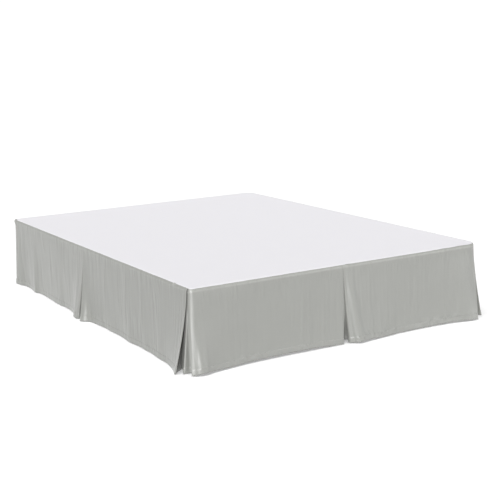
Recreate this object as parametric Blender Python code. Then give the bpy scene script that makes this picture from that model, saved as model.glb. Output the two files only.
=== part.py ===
"""Tailored queen bed skirt on a box spring.

Metres, +Z up. The origin is on the floor under the middle of the outline: the foot of the bed faces
-Y, the head +Y, and the left side of the bed, seen from its foot, faces -X. The hems flare out most
at the foot and on the left, so the middle of the bed lies a little to the right and towards the head.

The skirt is a white deck with three drops of grey cloth sewn to its sides. Each drop is one strip
that rolls over the shoulder of the box spring, hangs to just above the floor, and is folded into an
inverted box pleat at its middle. At the two foot corners the drops turn back on themselves, and an
underlay wraps the corner behind them.
"""

import math
from dataclasses import dataclass

import bmesh
import bpy
from mathutils import Vector

# ---------------------------------------------------------------------------- driving sizes

BED_WIDTH = 1.524  # queen size: 60 in between the side seams of the deck
BED_LENGTH = 2.032  # 80 in
DROP = 0.3556  # 14 in from the top of the deck to the hem
HEM_CLEARANCE = 0.003  # hem above the floor
FOOT_LEFT_RADIUS = 0.003  # of the corners of the deck, seen from above
FOOT_RIGHT_RADIUS = 0.060
HEAD_RADIUS = 0.040
UNDERLAY_RADIUS = 0.012  # of the underlay of the left corner
BOX_RADII = (0.040, 0.040, 0.030, 0.060)  # of the box spring, counter-clockwise from the head's right
BED_MIDDLE_X = 0.0111  # middle of the bed, from the middle of the outline of the hems
BED_MIDDLE_Y = 0.0111

CLOTH = 0.0012  # thickness of the woven cloth
PIECE_GAP = 0.0003  # between two pieces that meet
LAYER_PITCH = 0.0022  # between the middles of two folded layers
INSERT_DEPTH = 0.0060  # of the corner underlay behind the outer layer
SHOULDER_RADIUS = 0.013  # of the outer layer, where the drop rolls over the edge
SEAM_TURN = math.radians(24)  # how far round the shoulder the seam lies
FOLD_RADIUS = LAYER_PITCH / 2  # of a pressed fold, at the seam

INNER_ROLL = 0.0015  # radius of the folds behind a panel, at the hem
HEAD_WRAP = 0.025  # drop that goes on along the head, past the rounded corner
PANEL_REACH = 0.25  # how far from its fold the hang of a panel leans with it
RETURN_REACH = 0.075  # the same for the cloth turned back behind it

BOX_HEIGHT = 0.2286  # 9 in box spring
BOX_TOP_ROUND = 0.012
BOX_BOTTOM_ROUND = 0.008
LEG_TOP_RADIUS = 0.0275
LEG_FOOT_RADIUS = 0.019
LEG_CHAMFER = 0.002
LEG_INSET = 0.115  # of the corner legs' axes from the sides of the box spring

DECK_TOP = DROP + HEM_CLEARANCE
BOX_TOP = DECK_TOP - CLOTH - PIECE_GAP
BOX_BOTTOM = BOX_TOP - BOX_HEIGHT
LEG_HEIGHT = BOX_BOTTOM - PIECE_GAP

# ------------------------------------------------------------------------------- fineness

SHOULDER_ROWS = 3  # facets round the shoulder
DROP_ROWS = (0.14, 0.38, 0.68, 1.0)  # rows of corners down the drop, as parts of its height
FLARE_POWER = 1.4  # how late in the drop the cloth swings out
SWAY_POWER = 1.6  # how late it sways along the side
TUCK_POWER = 5.5  # how late an underlay tucks in under the box spring
FOLD_FACETS = 4  # facets round a fold
CORNER_FACETS = 6  # facets round a corner of the deck and the box spring
RIM_ROWS = 2  # facets of the deck from its flat top to the seam
RIM_GAP = 0.0008  # from the deck's rim to the drops, whose facets lie inside their true curve
WIDEST_COLUMN = 0.075  # the most between two columns of a panel
ARC_FACET = 0.25  # the most that the cloth turns between two columns on a rounded corner
SHARP_COLUMN = 0.0015  # the most between two columns on the sharp corner
CORNER_MARGIN = 0.004  # cloth past a rounded corner that still leans round it
LEG_SIDES = 20

# ----------------------------------------------------------------------------- fold tables
#
# A drop is measured along the seam from its first corner, as if the corners of the deck were
# sharp, and outwards from the seam. `lift` raises the hem.


@dataclass(frozen=True)
class Hem:
    """Where the hem of a panel swings to, at one crest, trough or bend."""

    along: float
    out: float
    lift: float = 0.0


@dataclass(frozen=True)
class Edge:
    """The fold at one end of a panel, pressed at the seam and open at the hem."""

    seam: float  # along the seam
    along: float  # along the hem
    out: float
    roll: float = 0.0015  # radius that the fold opens to at the hem
    lift: float = 0.0


@dataclass(frozen=True)
class Pleat:
    """An inverted box pleat: the hems of the cloth behind the fold edges of two panels."""

    near_return: tuple
    near_fold: Hem
    underlay: Hem
    far_fold: Hem
    far_return: tuple


LEFT_CORNER_RETURN = (
    Hem(0.0530, 0.0530),
    Hem(0.0640, 0.0400),
    Hem(0.0710, 0.0265),
    Hem(0.0800, 0.0175),
    Hem(0.0980, 0.0130),
)
LEFT_CORNER = Edge(seam=0.017, along=0.0400, out=0.0640, roll=0.0025, lift=0.0020)
LEFT_NEAR_PANEL = (
    Hem(0.062, 0.0560),
    Hem(0.095, 0.0440),
    Hem(0.144, 0.0310),
    Hem(0.209, 0.0210),
    Hem(0.257, 0.0200),
    Hem(0.314, 0.0150),
    Hem(0.370, 0.0110),
    Hem(0.422, 0.0100),
    Hem(0.475, 0.0080),
    Hem(0.564, 0.0140),
    Hem(0.625, 0.0100),
    Hem(0.691, 0.0050),
    Hem(0.741, 0.0060),
    Hem(0.792, 0.0080),
    Hem(0.855, 0.0060),
    Hem(0.906, 0.0095),
    Hem(0.952, 0.0125),
    Hem(0.987, 0.0165),
    Hem(1.011, 0.0275),
    Hem(1.025, 0.0460),
)
LEFT_NEAR_EDGE = Edge(seam=1.053, along=1.0370, out=0.0535, roll=0.0030, lift=0.0010)
LEFT_PLEAT = Pleat(
    near_return=(Hem(0.995, 0.0105), Hem(1.011, 0.0180), Hem(1.026, 0.0380)),
    near_fold=Hem(0.978, 0.0080),
    underlay=Hem(1.055, 0.0060),
    far_fold=Hem(1.132, 0.0080),
    far_return=(Hem(1.108, 0.0240), Hem(1.118, 0.0130)),
)
LEFT_FAR_EDGE = Edge(seam=1.057, along=1.0980, out=0.0410, roll=0.0100)
LEFT_FAR_PANEL = (
    Hem(1.139, 0.0470),
    Hem(1.173, 0.0325),
    Hem(1.2175, 0.0182),
    Hem(1.264, 0.0120),
    Hem(1.336, 0.0090),
    Hem(1.390, 0.0150),
    Hem(1.464, 0.0130),
    Hem(1.545, 0.0080),
    Hem(1.627, 0.0050),
    Hem(1.691, 0.0070),
    Hem(1.734, 0.0190),
    Hem(1.790, 0.0110),
    Hem(1.847, 0.0050),
    Hem(1.905, 0.0080),
    Hem(1.953, 0.0225),
    Hem(1.982, 0.0260),
)

FOOT_LEFT_RETURN = (
    Hem(0.0100, 0.0150),
    Hem(0.0300, 0.0125),
    Hem(0.0500, 0.0120),
    Hem(0.0680, 0.0100),
)
FOOT_LEFT_CORNER = Edge(seam=-0.0015, along=0.0011, out=0.0325, roll=0.0025, lift=0.0020)
FOOT_LEFT_PANEL = (
    Hem(0.0018, 0.0354, 0.0030),
    Hem(0.0026, 0.0362, 0.0038),
    Hem(0.010, 0.0408, 0.0052),
    Hem(0.022, 0.0448, 0.0070),
    Hem(0.038, 0.0450, 0.0080),
    Hem(0.060, 0.0390, 0.0072),
    Hem(0.102, 0.0285, 0.0044),
    Hem(0.139, 0.0240, 0.0029),
    Hem(0.181, 0.0188, 0.0034),
    Hem(0.225, 0.0135, 0.0045),
    Hem(0.269, 0.0095, 0.0054),
    Hem(0.347, 0.0070, 0.0064),
    Hem(0.432, 0.0060, 0.0066),
    Hem(0.515, 0.0060, 0.0067),
    Hem(0.597, 0.0075, 0.0060),
    Hem(0.640, 0.0100, 0.0046),
    Hem(0.675, 0.0115, 0.0029),
    Hem(0.706, 0.0128, 0.0012),
    Hem(0.726, 0.0135, 0.0003),
)
FOOT_LEFT_EDGE = Edge(seam=0.7430, along=0.7420, out=0.0120)
FOOT_PLEAT = Pleat(
    near_return=(Hem(0.690, 0.0090), Hem(0.722, 0.0100)),
    near_fold=Hem(0.668, 0.0070),
    underlay=Hem(0.774, -0.0500),
    far_fold=Hem(0.832, 0.0010),
    far_return=(Hem(0.804, -0.0045), Hem(0.820, -0.0015)),
)
FOOT_RIGHT_EDGE = Edge(seam=0.7462, along=0.7895, out=0.0090, roll=0.0145, lift=0.0008)
FOOT_RIGHT_PANEL = (
    Hem(0.799, 0.0302, 0.0028),
    Hem(0.812, 0.0358, 0.0044),
    Hem(0.830, 0.0396, 0.0058),
    Hem(0.852, 0.0400, 0.0060),
    Hem(0.880, 0.0372, 0.0052),
    Hem(0.908, 0.0334, 0.0036),
    Hem(0.950, 0.0285, 0.0012),
    Hem(0.994, 0.0250, 0.0012),
    Hem(1.044, 0.0180, 0.0012),
    Hem(1.120, 0.0165, 0.0012),
    Hem(1.200, 0.0170, 0.0012),
    Hem(1.270, 0.0175, 0.0016),
    Hem(1.325, 0.0215, 0.0024),
    Hem(1.375, 0.0285, 0.0026),
    Hem(1.409, 0.0335, 0.0030),
    Hem(1.440, 0.0400, 0.0024),
    Hem(1.464, 0.0475, 0.0016),
)
FOOT_RIGHT_CORNER = Edge(seam=1.502, along=1.4799, out=0.0543, roll=0.0020, lift=0.0010)
FOOT_RIGHT_RETURN = (
    Hem(1.432, 0.0110),
    Hem(1.452, 0.0170),
    Hem(1.474, 0.0360),
)

RIGHT_CORNER_RETURN = (
    Hem(0.0311, 0.0376),
    Hem(0.0456, 0.0222),
    Hem(0.0640, 0.0140),
    Hem(0.0880, 0.0110),
)
RIGHT_CORNER = Edge(seam=0.030, along=0.0253, out=0.0546, roll=0.0025)
RIGHT_NEAR_PANEL = (
    Hem(0.046, 0.0470),
    Hem(0.090, 0.0290),
    Hem(0.140, 0.0210),
    Hem(0.205, 0.0130),
    Hem(0.268, 0.0170),
    Hem(0.330, 0.0100),
    Hem(0.398, 0.0120),
    Hem(0.460, 0.0070),
    Hem(0.530, 0.0110),
    Hem(0.602, 0.0065),
    Hem(0.668, 0.0100),
    Hem(0.735, 0.0055),
    Hem(0.800, 0.0090),
    Hem(0.862, 0.0070),
    Hem(0.915, 0.0120),
    Hem(0.958, 0.0150),
    Hem(0.990, 0.0240),
)
RIGHT_NEAR_EDGE = Edge(seam=1.014, along=1.0010, out=0.0360, roll=0.0040)
RIGHT_PLEAT = Pleat(
    near_return=(Hem(0.958, 0.0095), Hem(0.980, 0.0145)),
    near_fold=Hem(0.939, 0.0075),
    underlay=Hem(1.016, 0.0060),
    far_fold=Hem(1.093, 0.0075),
    far_return=(Hem(1.062, 0.0200), Hem(1.076, 0.0110)),
)
RIGHT_FAR_EDGE = Edge(seam=1.018, along=1.0480, out=0.0340, roll=0.0060)
RIGHT_FAR_PANEL = (
    Hem(1.085, 0.0370),
    Hem(1.122, 0.0240),
    Hem(1.175, 0.0140),
    Hem(1.240, 0.0090),
    Hem(1.305, 0.0130),
    Hem(1.372, 0.0075),
    Hem(1.440, 0.0110),
    Hem(1.512, 0.0060),
    Hem(1.580, 0.0120),
    Hem(1.650, 0.0080),
    Hem(1.715, 0.0055),
    Hem(1.780, 0.0130),
    Hem(1.842, 0.0090),
    Hem(1.905, 0.0060),
    Hem(1.960, 0.0150),
    Hem(1.982, 0.0200),
)

HEAD_HEM_OUT = 0.030  # of a drop where it goes round the head corner
HEAD_END_OUT = 0.024  # of its last edge, on the head face

# Underlays of the corner pleats, measured along the foot seam and on round the corner.
LEFT_INSERT = (
    Hem(-0.107, 0.0085),
    Hem(-0.080, 0.0095),
    Hem(-0.055, 0.0120),
    Hem(-0.039, 0.0180),
    Hem(-0.030, 0.0265),
    Hem(-0.0235, 0.0330),
    Hem(-0.0185, 0.0345),
    Hem(-0.0160, 0.0320),
    Hem(-0.0150, 0.0260),
    Hem(-0.0142, 0.0190),
    Hem(-0.0132, 0.0110),
    Hem(-0.0110, 0.0040),
    Hem(-0.0057, 0.0005),
    Hem(0.0046, 0.0005),
    Hem(0.0120, 0.0035),
    Hem(0.0200, 0.0058),
    Hem(0.0350, 0.0062),
    Hem(0.0560, 0.0060),
    Hem(0.086, 0.0055),
)
RIGHT_INSERT = (
    Hem(BED_WIDTH - 0.100, 0.0060),
    Hem(BED_WIDTH - 0.072, 0.0095),
    Hem(BED_WIDTH - 0.048, 0.0200),
    Hem(BED_WIDTH - 0.0299, 0.0335),
    Hem(BED_WIDTH - 0.0153, 0.0350),
    Hem(BED_WIDTH + 0.0011, 0.0275),
    Hem(BED_WIDTH + 0.0146, 0.0180),
    Hem(BED_WIDTH + 0.0285, 0.0110),
    Hem(BED_WIDTH + 0.0533, 0.0078),
    Hem(BED_WIDTH + 0.0853, 0.0070),
)

# ------------------------------------------------------------------------------- finishes


@dataclass(frozen=True)
class Finish:
    """Plain look of one material."""

    color: tuple
    roughness: float
    metallic: float = 0.0


GREY_CLOTH = Finish((0.40, 0.41, 0.38), 0.85)
WHITE_CLOTH = Finish((0.84, 0.83, 0.86), 0.85)
TICKING = Finish((0.70, 0.70, 0.68), 0.90)
LEG_WOOD = Finish((0.10, 0.07, 0.05), 0.45)

# --------------------------------------------------------------------------- plan geometry


@dataclass(frozen=True)
class Side:
    """One side of the deck, from its first corner to its second."""

    start: Vector
    direction: Vector
    outward: Vector
    length: float
    radii: tuple  # of its two corners

    def place(self, along, out):
        """Plan point at `along` on the seam line and `out` from it, round the corners too."""
        first, second = self.radii
        if first <= along <= self.length - second:
            return self.start + self.direction * along + self.outward * out
        near_start = along < first
        radius = first if near_start else second
        way, middle = (-1, first) if near_start else (1, self.length - second)
        turned = abs(along - middle) / radius
        past = max(0.0, turned - math.pi / 2) * radius
        turned = min(turned, math.pi / 2)
        ahead = self.direction * way
        radial = self.outward * math.cos(turned) + ahead * math.sin(turned)
        tangent = ahead * math.cos(turned) - self.outward * math.sin(turned)
        centre = self.start + self.direction * middle - self.outward * radius
        return centre + radial * (radius + out) + tangent * past

    @property
    def handedness(self):
        """+1 where outwards lies to the left of the side's direction, seen from above."""
        cross = self.direction.x * self.outward.y - self.direction.y * self.outward.x
        return 1 if cross > 0 else -1


BED_MIDDLE = Vector((BED_MIDDLE_X, BED_MIDDLE_Y))
HALF_WIDTH = BED_WIDTH / 2
HALF_LENGTH = BED_LENGTH / 2
FOOT_LEFT_CORNER_POINT = BED_MIDDLE - Vector((HALF_WIDTH, HALF_LENGTH))
FOOT_RIGHT_CORNER_POINT = FOOT_LEFT_CORNER_POINT + Vector((BED_WIDTH, 0))
TO_HEAD = Vector((0, 1))
TO_RIGHT = Vector((1, 0))
LEFT_RADII = (FOOT_LEFT_RADIUS, HEAD_RADIUS)
FOOT_RADII = (FOOT_LEFT_RADIUS, FOOT_RIGHT_RADIUS)
RIGHT_RADII = (FOOT_RIGHT_RADIUS, HEAD_RADIUS)
UNDERLAY_RADII = (UNDERLAY_RADIUS, FOOT_RIGHT_RADIUS)
LEFT = Side(FOOT_LEFT_CORNER_POINT, TO_HEAD, -TO_RIGHT, BED_LENGTH, LEFT_RADII)
FOOT = Side(FOOT_LEFT_CORNER_POINT, TO_RIGHT, -TO_HEAD, BED_WIDTH, FOOT_RADII)
RIGHT = Side(FOOT_RIGHT_CORNER_POINT, TO_HEAD, TO_RIGHT, BED_LENGTH, RIGHT_RADII)
UNDERLAY = Side(FOOT_LEFT_CORNER_POINT, TO_RIGHT, -TO_HEAD, BED_WIDTH, UNDERLAY_RADII)


def slopes(xs, ys):
    """Slopes for a smooth curve through the points that adds no bumps between them."""
    steps = [(y1 - y0) / (x1 - x0) for x0, x1, y0, y1 in zip(xs, xs[1:], ys, ys[1:])]
    middle = [
        2 * a * b / (a + b) if a * b > 0 else 0.0
        for a, b in zip(steps, steps[1:])
    ]
    return [steps[0], *middle, steps[-1]]


def smooth_at(xs, ys, x):
    """Value at x of the smooth curve through the points."""
    gradients = slopes(xs, ys)
    i = max(0, min(len(xs) - 2, sum(x >= value for value in xs) - 1))
    width = xs[i + 1] - xs[i]
    t = (x - xs[i]) / width
    a = (1 + 2 * t) * (1 - t) ** 2
    b = t * (1 - t) ** 2
    c = t * t * (3 - 2 * t)
    d = t * t * (t - 1)
    return a * ys[i] + b * width * gradients[i] + c * ys[i + 1] + d * width * gradients[i + 1]


# ------------------------------------------------------------------------- cloth as stations


@dataclass(frozen=True)
class Station:
    """One column of a cloth strip, from the seam to the hem.

    `depth` is how far it lies behind the outer layer at the seam. A station with a `turn` is a
    fold, clockwise (-1) or counter-clockwise (+1) in the plane of along and out.
    """

    seam: float
    depth: float
    along: float
    out: float
    lift: float = 0.0
    turn: int = 0
    roll: float = 0.0


def lean_at(along, edges, reach):
    """How far the hem stands from straight below its place on the seam, near each fold."""
    lean = 0.0
    for edge in edges:
        near = max(0.0, 1 - abs(along - edge.along) / reach)
        lean += (edge.along - edge.seam) * near**2
    return lean


def widest_column(side, along):
    """Widest column at one place of a panel: narrow where it goes round a corner."""
    for radius, place in zip(side.radii, (along, side.length - along)):
        arc = radius * math.pi / 2
        if radius - arc - CORNER_MARGIN < place < radius + CORNER_MARGIN:
            return max(SHARP_COLUMN, radius * ARC_FACET)
    return WIDEST_COLUMN


def column_places(side, xs):
    """Places of the columns of a panel: at its hem rows, and between them where they lie wide."""
    places = [xs[0]]
    for x0, x1 in zip(xs, xs[1:]):
        count = math.ceil((x1 - x0) / widest_column(side, (x0 + x1) / 2))
        places += [x0 + (x1 - x0) * (i + 1) / count for i in range(count)]
    return places


def cloth_run(side, rows, before=None, after=None, layer=0, reach=PANEL_REACH):
    """Stations of a run of cloth through its hem rows, between the folds at its two ends.

    The run meets the outer side of a fold on the outer layer, and its inner side on the next.
    """
    folds = [edge for edge in (before, after) if edge]
    way = -1 if layer else 1
    ends = [(edge, Hem(edge.along, edge.out + way * edge.roll, edge.lift)) for edge in folds]
    hems = [hem for edge, hem in ends if edge is before]
    hems += [*rows, *(hem for edge, hem in ends if edge is after)]
    xs = [hem.along for hem in hems]
    outs = [hem.out for hem in hems]
    lifts = [hem.lift for hem in hems]
    stations = []
    for x in column_places(side, xs):
        if any(x == edge.along for edge in folds):
            continue
        seam = x - lean_at(x, folds, reach)
        out = smooth_at(xs, outs, x)
        stations.append(Station(seam, layer * LAYER_PITCH, x, out, smooth_at(xs, lifts, x)))
    return stations


def edge_fold(edge):
    """The fold at the end of a panel, between the outer layer and the one behind it."""
    return Station(edge.seam, LAYER_PITCH / 2, edge.along, edge.out, edge.lift, -1, edge.roll)


def turned_back(side, rows, before=None, after=None):
    """Stations of the cloth behind a panel, in falling order along the side."""
    return cloth_run(side, rows, before, after, 1, RETURN_REACH)[::-1]


def inner_fold(hem):
    """The fold behind a panel, between its return and the underlay."""
    return Station(hem.along, 1.5 * LAYER_PITCH, hem.along, hem.out, 0.0, 1, INNER_ROLL)


def pleat_stations(side, near_edge, pleat, far_edge):
    """Stations from the fold of one panel, round the pleat, to the fold of the next."""
    underlay = pleat.underlay
    return [
        edge_fold(near_edge),
        *turned_back(side, pleat.near_return, after=near_edge),
        inner_fold(pleat.near_fold),
        Station(underlay.along, 2 * LAYER_PITCH, underlay.along, underlay.out),
        inner_fold(pleat.far_fold),
        *turned_back(side, pleat.far_return, before=far_edge),
        edge_fold(far_edge),
    ]


def head_rows(last_row):
    """Hem rows from the end of a side round the head corner and along the head face."""
    corner = BED_LENGTH - HEAD_RADIUS
    quarter = HEAD_RADIUS * math.pi / 2
    return (
        last_row,
        Hem(corner + quarter * 0.5, HEAD_HEM_OUT),
        Hem(corner + quarter, HEAD_HEM_OUT),
        Hem(corner + quarter + HEAD_WRAP, HEAD_END_OUT),
    )


def side_drop(side, corner, start, near, near_edge, pleat, far_edge, far):
    """Stations of a side drop, from the foot corner to the head."""
    return [
        *turned_back(side, start, before=corner),
        edge_fold(corner),
        *cloth_run(side, near, corner, near_edge),
        *pleat_stations(side, near_edge, pleat, far_edge),
        *cloth_run(side, (*far[:-1], *head_rows(far[-1])), before=far_edge),
    ]


def foot_drop():
    """Stations of the foot drop, from the left corner to the right one."""
    return [
        *turned_back(FOOT, FOOT_LEFT_RETURN, before=FOOT_LEFT_CORNER),
        edge_fold(FOOT_LEFT_CORNER),
        *cloth_run(FOOT, FOOT_LEFT_PANEL, FOOT_LEFT_CORNER, FOOT_LEFT_EDGE),
        *pleat_stations(FOOT, FOOT_LEFT_EDGE, FOOT_PLEAT, FOOT_RIGHT_EDGE),
        *cloth_run(FOOT, FOOT_RIGHT_PANEL, FOOT_RIGHT_EDGE, FOOT_RIGHT_CORNER),
        edge_fold(FOOT_RIGHT_CORNER),
        *turned_back(FOOT, FOOT_RIGHT_RETURN, after=FOOT_RIGHT_CORNER),
    ]


def insert_strip(rows):
    """Stations of a corner underlay, straight below its place on the seam."""
    run = cloth_run(UNDERLAY, rows)
    return [Station(one.seam, INSERT_DEPTH, one.along, one.out) for one in run]


# ---------------------------------------------------------------------------- cloth as mesh


def round_fold(centre, before, after, turn, radius):
    """Points round a fold, from where the cloth comes in to where it goes out."""
    come = (centre - before).normalized()
    leave = (after - centre).normalized()
    angle = math.atan2(come.x * leave.y - come.y * leave.x, come.dot(leave)) * turn
    if angle < 0:
        angle += 2 * math.pi
    spoke = Vector((come.y, -come.x)) * (turn * radius)
    points = []
    for i in range(FOLD_FACETS + 1):
        swing = angle * turn * i / FOLD_FACETS
        c, s = math.cos(swing), math.sin(swing)
        points.append(centre + Vector((spoke.x * c - spoke.y * s, spoke.x * s + spoke.y * c)))
    return points


def row_points(stations, points, radius_at, hand):
    """The points of one row, with each fold rounded."""
    row = []
    for i, station in enumerate(stations):
        if not station.turn:
            row.append(points[i])
            continue
        turn = station.turn * hand
        row += round_fold(points[i], points[i - 1], points[i + 1], turn, radius_at(station))
    return row


def shoulder_row(side, stations, angle):
    """One row round the shoulder, turned by `angle` from flat on the deck to hanging."""
    flat = [Vector((station.seam, -station.depth)) for station in stations]
    row = row_points(stations, flat, lambda station: FOLD_RADIUS, 1)
    corners = []
    for along, height in row:
        radius = SHOULDER_RADIUS + height
        plan = side.place(along, PIECE_GAP + radius * math.sin(angle))
        z = DECK_TOP - CLOTH / 2 - SHOULDER_RADIUS + radius * math.cos(angle)
        corners.append((plan.x, plan.y, z))
    return corners


def hanging_row(side, stations, part):
    """One row of the drop, at `part` of the way from the shoulder to the hem."""
    points = []
    lifts = []
    for station in stations:
        top_out = PIECE_GAP + SHOULDER_RADIUS - station.depth
        swing = part ** (TUCK_POWER if station.out < 0 else FLARE_POWER)
        along = station.seam + (station.along - station.seam) * part**SWAY_POWER
        points.append(side.place(along, top_out + (station.out - top_out) * swing))
        lifts += [station.lift] * (FOLD_FACETS + 1 if station.turn else 1)

    def radius_at(station):
        return FOLD_RADIUS + (station.roll - FOLD_RADIUS) * part**FLARE_POWER

    row = row_points(stations, points, radius_at, side.handedness)
    top = DECK_TOP - CLOTH / 2 - SHOULDER_RADIUS
    return [
        (plan.x, plan.y, top + (HEM_CLEARANCE + lift - top) * part)
        for plan, lift in zip(row, lifts)
    ]


def thicken(sheet):
    """Gives a sheet the cloth's thickness."""
    thick = sheet.modifiers.new("cloth", "SOLIDIFY")
    thick.thickness = CLOTH
    thick.offset = 0.0
    thick.use_even_offset = True


def cloth_strip(name, side, stations, finish):
    """A hanging strip of cloth, as a grid of rows with the cloth's thickness."""
    turn = math.pi / 2 - SEAM_TURN
    turns = [SEAM_TURN + turn * i / SHOULDER_ROWS for i in range(SHOULDER_ROWS + 1)]
    rows = [shoulder_row(side, stations, angle) for angle in turns]
    rows += [hanging_row(side, stations, part) for part in DROP_ROWS]
    mesh = bmesh.new()
    grid = [[mesh.verts.new(corner) for corner in row] for row in rows]
    for upper, lower in zip(grid, grid[1:]):
        for i in range(len(upper) - 1):
            mesh.faces.new((upper[i], upper[i + 1], lower[i + 1], lower[i]))
    thicken(add_object(name, mesh, finish))


# ------------------------------------------------------------------------------ plain solids


def rounded_outline(mesh, radii, z, out=0.0):
    """Ring of vertices round the bed, `out` from its sides, with rounded corners."""
    ring = []
    signs = ((1, 1), (-1, 1), (-1, -1), (1, -1))
    for quarter, (sign, radius) in enumerate(zip(signs, radii)):
        centre_x = BED_MIDDLE.x + sign[0] * (HALF_WIDTH - radius)
        centre_y = BED_MIDDLE.y + sign[1] * (HALF_LENGTH - radius)
        for i in range(CORNER_FACETS + 1):
            angle = math.pi / 2 * (quarter + i / CORNER_FACETS)
            x = centre_x + (radius + out) * math.cos(angle)
            y = centre_y + (radius + out) * math.sin(angle)
            ring.append(mesh.verts.new((x, y, z)))
    return ring


def box_slab(bottom, top):
    """Closed solid with the outline of the box spring, from one height to another."""
    mesh = bmesh.new()
    base = mesh.faces.new(rounded_outline(mesh, BOX_RADII, bottom))
    base.normal_flip()
    raised = bmesh.ops.extrude_face_region(mesh, geom=[base], use_keep_orig=True)
    lifted = [item for item in raised["geom"] if isinstance(item, bmesh.types.BMVert)]
    bmesh.ops.translate(mesh, vec=(0, 0, top - bottom), verts=lifted)
    bmesh.ops.recalc_face_normals(mesh, faces=mesh.faces)
    return mesh


def round_rim(mesh, z, radius):
    """Rounds the level edges of a slab that lie at one height."""
    rim = [edge for edge in mesh.edges if all(abs(v.co.z - z) < PIECE_GAP for v in edge.verts)]
    bmesh.ops.bevel(mesh, geom=rim, offset=radius, segments=3, affect="EDGES", profile=0.5)


def make_deck(finish):
    """The white sheet on top of the box spring, rolled over its edge as far as the seam."""
    radii = (HEAD_RADIUS, HEAD_RADIUS, 2 * FOOT_LEFT_RADIUS, FOOT_RIGHT_RADIUS)
    centre_z = DECK_TOP - CLOTH / 2 - SHOULDER_RADIUS
    last = SEAM_TURN - RIM_GAP / SHOULDER_RADIUS
    mesh = bmesh.new()
    rings = []
    for i in range(RIM_ROWS + 1):
        angle = last * i / RIM_ROWS
        z = centre_z + SHOULDER_RADIUS * math.cos(angle)
        rings.append(rounded_outline(mesh, radii, z, SHOULDER_RADIUS * math.sin(angle)))
    mesh.faces.new(rings[0])
    for upper, lower in zip(rings, rings[1:]):
        for i, corner in enumerate(upper):
            mesh.faces.new((upper[i - 1], lower[i - 1], lower[i], corner))
    deck = add_object("deck", mesh, finish)
    thicken(deck)


def make_box_spring(finish):
    """The plain padded box that the skirt fits."""
    mesh = box_slab(BOX_BOTTOM, BOX_TOP)
    round_rim(mesh, BOX_TOP, BOX_TOP_ROUND)
    round_rim(mesh, BOX_BOTTOM, BOX_BOTTOM_ROUND)
    add_object("box_spring", mesh, finish)


def make_leg(name, x, y, finish):
    """A turned leg at x, y from the middle of the bed, which stands flat on the floor."""
    mesh = bmesh.new()
    bmesh.ops.create_cone(
        mesh,
        cap_ends=True,
        segments=LEG_SIDES,
        radius1=LEG_FOOT_RADIUS,
        radius2=LEG_TOP_RADIUS,
        depth=LEG_HEIGHT,
    )
    half = LEG_HEIGHT / 2
    rim = [edge for edge in mesh.edges if all(v.co.z < PIECE_GAP - half for v in edge.verts)]
    bmesh.ops.bevel(mesh, geom=rim, offset=LEG_CHAMFER, segments=1, affect="EDGES")
    leg = add_object(name, mesh, finish)
    leg.location = (BED_MIDDLE.x + x, BED_MIDDLE.y + y, half)


# ----------------------------------------------------------------------------------- objects


def make_material(name, finish):
    """A plain material in one finish."""
    material = bpy.data.materials.new(name)
    material.use_nodes = True
    shader = material.node_tree.nodes["Principled BSDF"]
    shader.inputs["Base Color"].default_value = (*finish.color, 1.0)
    shader.inputs["Roughness"].default_value = finish.roughness
    shader.inputs["Metallic"].default_value = finish.metallic
    material.diffuse_color = (*finish.color, 1.0)
    return material


def add_object(name, mesh, finish):
    """Puts a finished mesh in the scene under its name, in its own material."""
    data = bpy.data.meshes.new(name)
    mesh.to_mesh(data)
    mesh.free()
    data.shade_smooth()
    data.set_sharp_from_angle(angle=math.radians(35))
    data.materials.append(make_material(f"{name}_finish", finish))
    thing = bpy.data.objects.new(name, data)
    bpy.context.collection.objects.link(thing)
    return thing


def make_skirt():
    """The deck, the three drops and the underlays of the corner pleats."""
    make_deck(WHITE_CLOTH)
    left = side_drop(
        LEFT,
        LEFT_CORNER,
        LEFT_CORNER_RETURN,
        LEFT_NEAR_PANEL,
        LEFT_NEAR_EDGE,
        LEFT_PLEAT,
        LEFT_FAR_EDGE,
        LEFT_FAR_PANEL,
    )
    right = side_drop(
        RIGHT,
        RIGHT_CORNER,
        RIGHT_CORNER_RETURN,
        RIGHT_NEAR_PANEL,
        RIGHT_NEAR_EDGE,
        RIGHT_PLEAT,
        RIGHT_FAR_EDGE,
        RIGHT_FAR_PANEL,
    )
    cloth_strip("drop_left", LEFT, left, GREY_CLOTH)
    cloth_strip("drop_foot", FOOT, foot_drop(), GREY_CLOTH)
    cloth_strip("drop_right", RIGHT, right, GREY_CLOTH)
    cloth_strip("corner_insert_left", UNDERLAY, insert_strip(LEFT_INSERT), GREY_CLOTH)
    cloth_strip("corner_insert_right", UNDERLAY, insert_strip(RIGHT_INSERT), GREY_CLOTH)


def make_base():
    """The box spring and its five legs."""
    make_box_spring(TICKING)
    x = HALF_WIDTH - LEG_INSET
    y = HALF_LENGTH - LEG_INSET
    for end, leg_y in (("foot", -y), ("head", y)):
        make_leg(f"leg_{end}_left", -x, leg_y, LEG_WOOD)
        make_leg(f"leg_{end}_right", x, leg_y, LEG_WOOD)
    make_leg("leg_middle", 0.0, 0.0, LEG_WOOD)


def main():
    """Clears the scene and builds the bed skirt on its box spring."""
    for thing in list(bpy.data.objects):
        bpy.data.objects.remove(thing)
    make_skirt()
    make_base()


main()
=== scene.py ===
"""Looks of a tailored bed skirt on its box spring: folded drops, deck, base and studio."""

import logging
import math
from collections.abc import Iterable, Sequence
from dataclasses import dataclass, field
from enum import Enum

import bmesh
import bpy
import numpy as np
from mathutils import Matrix, Vector


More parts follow.
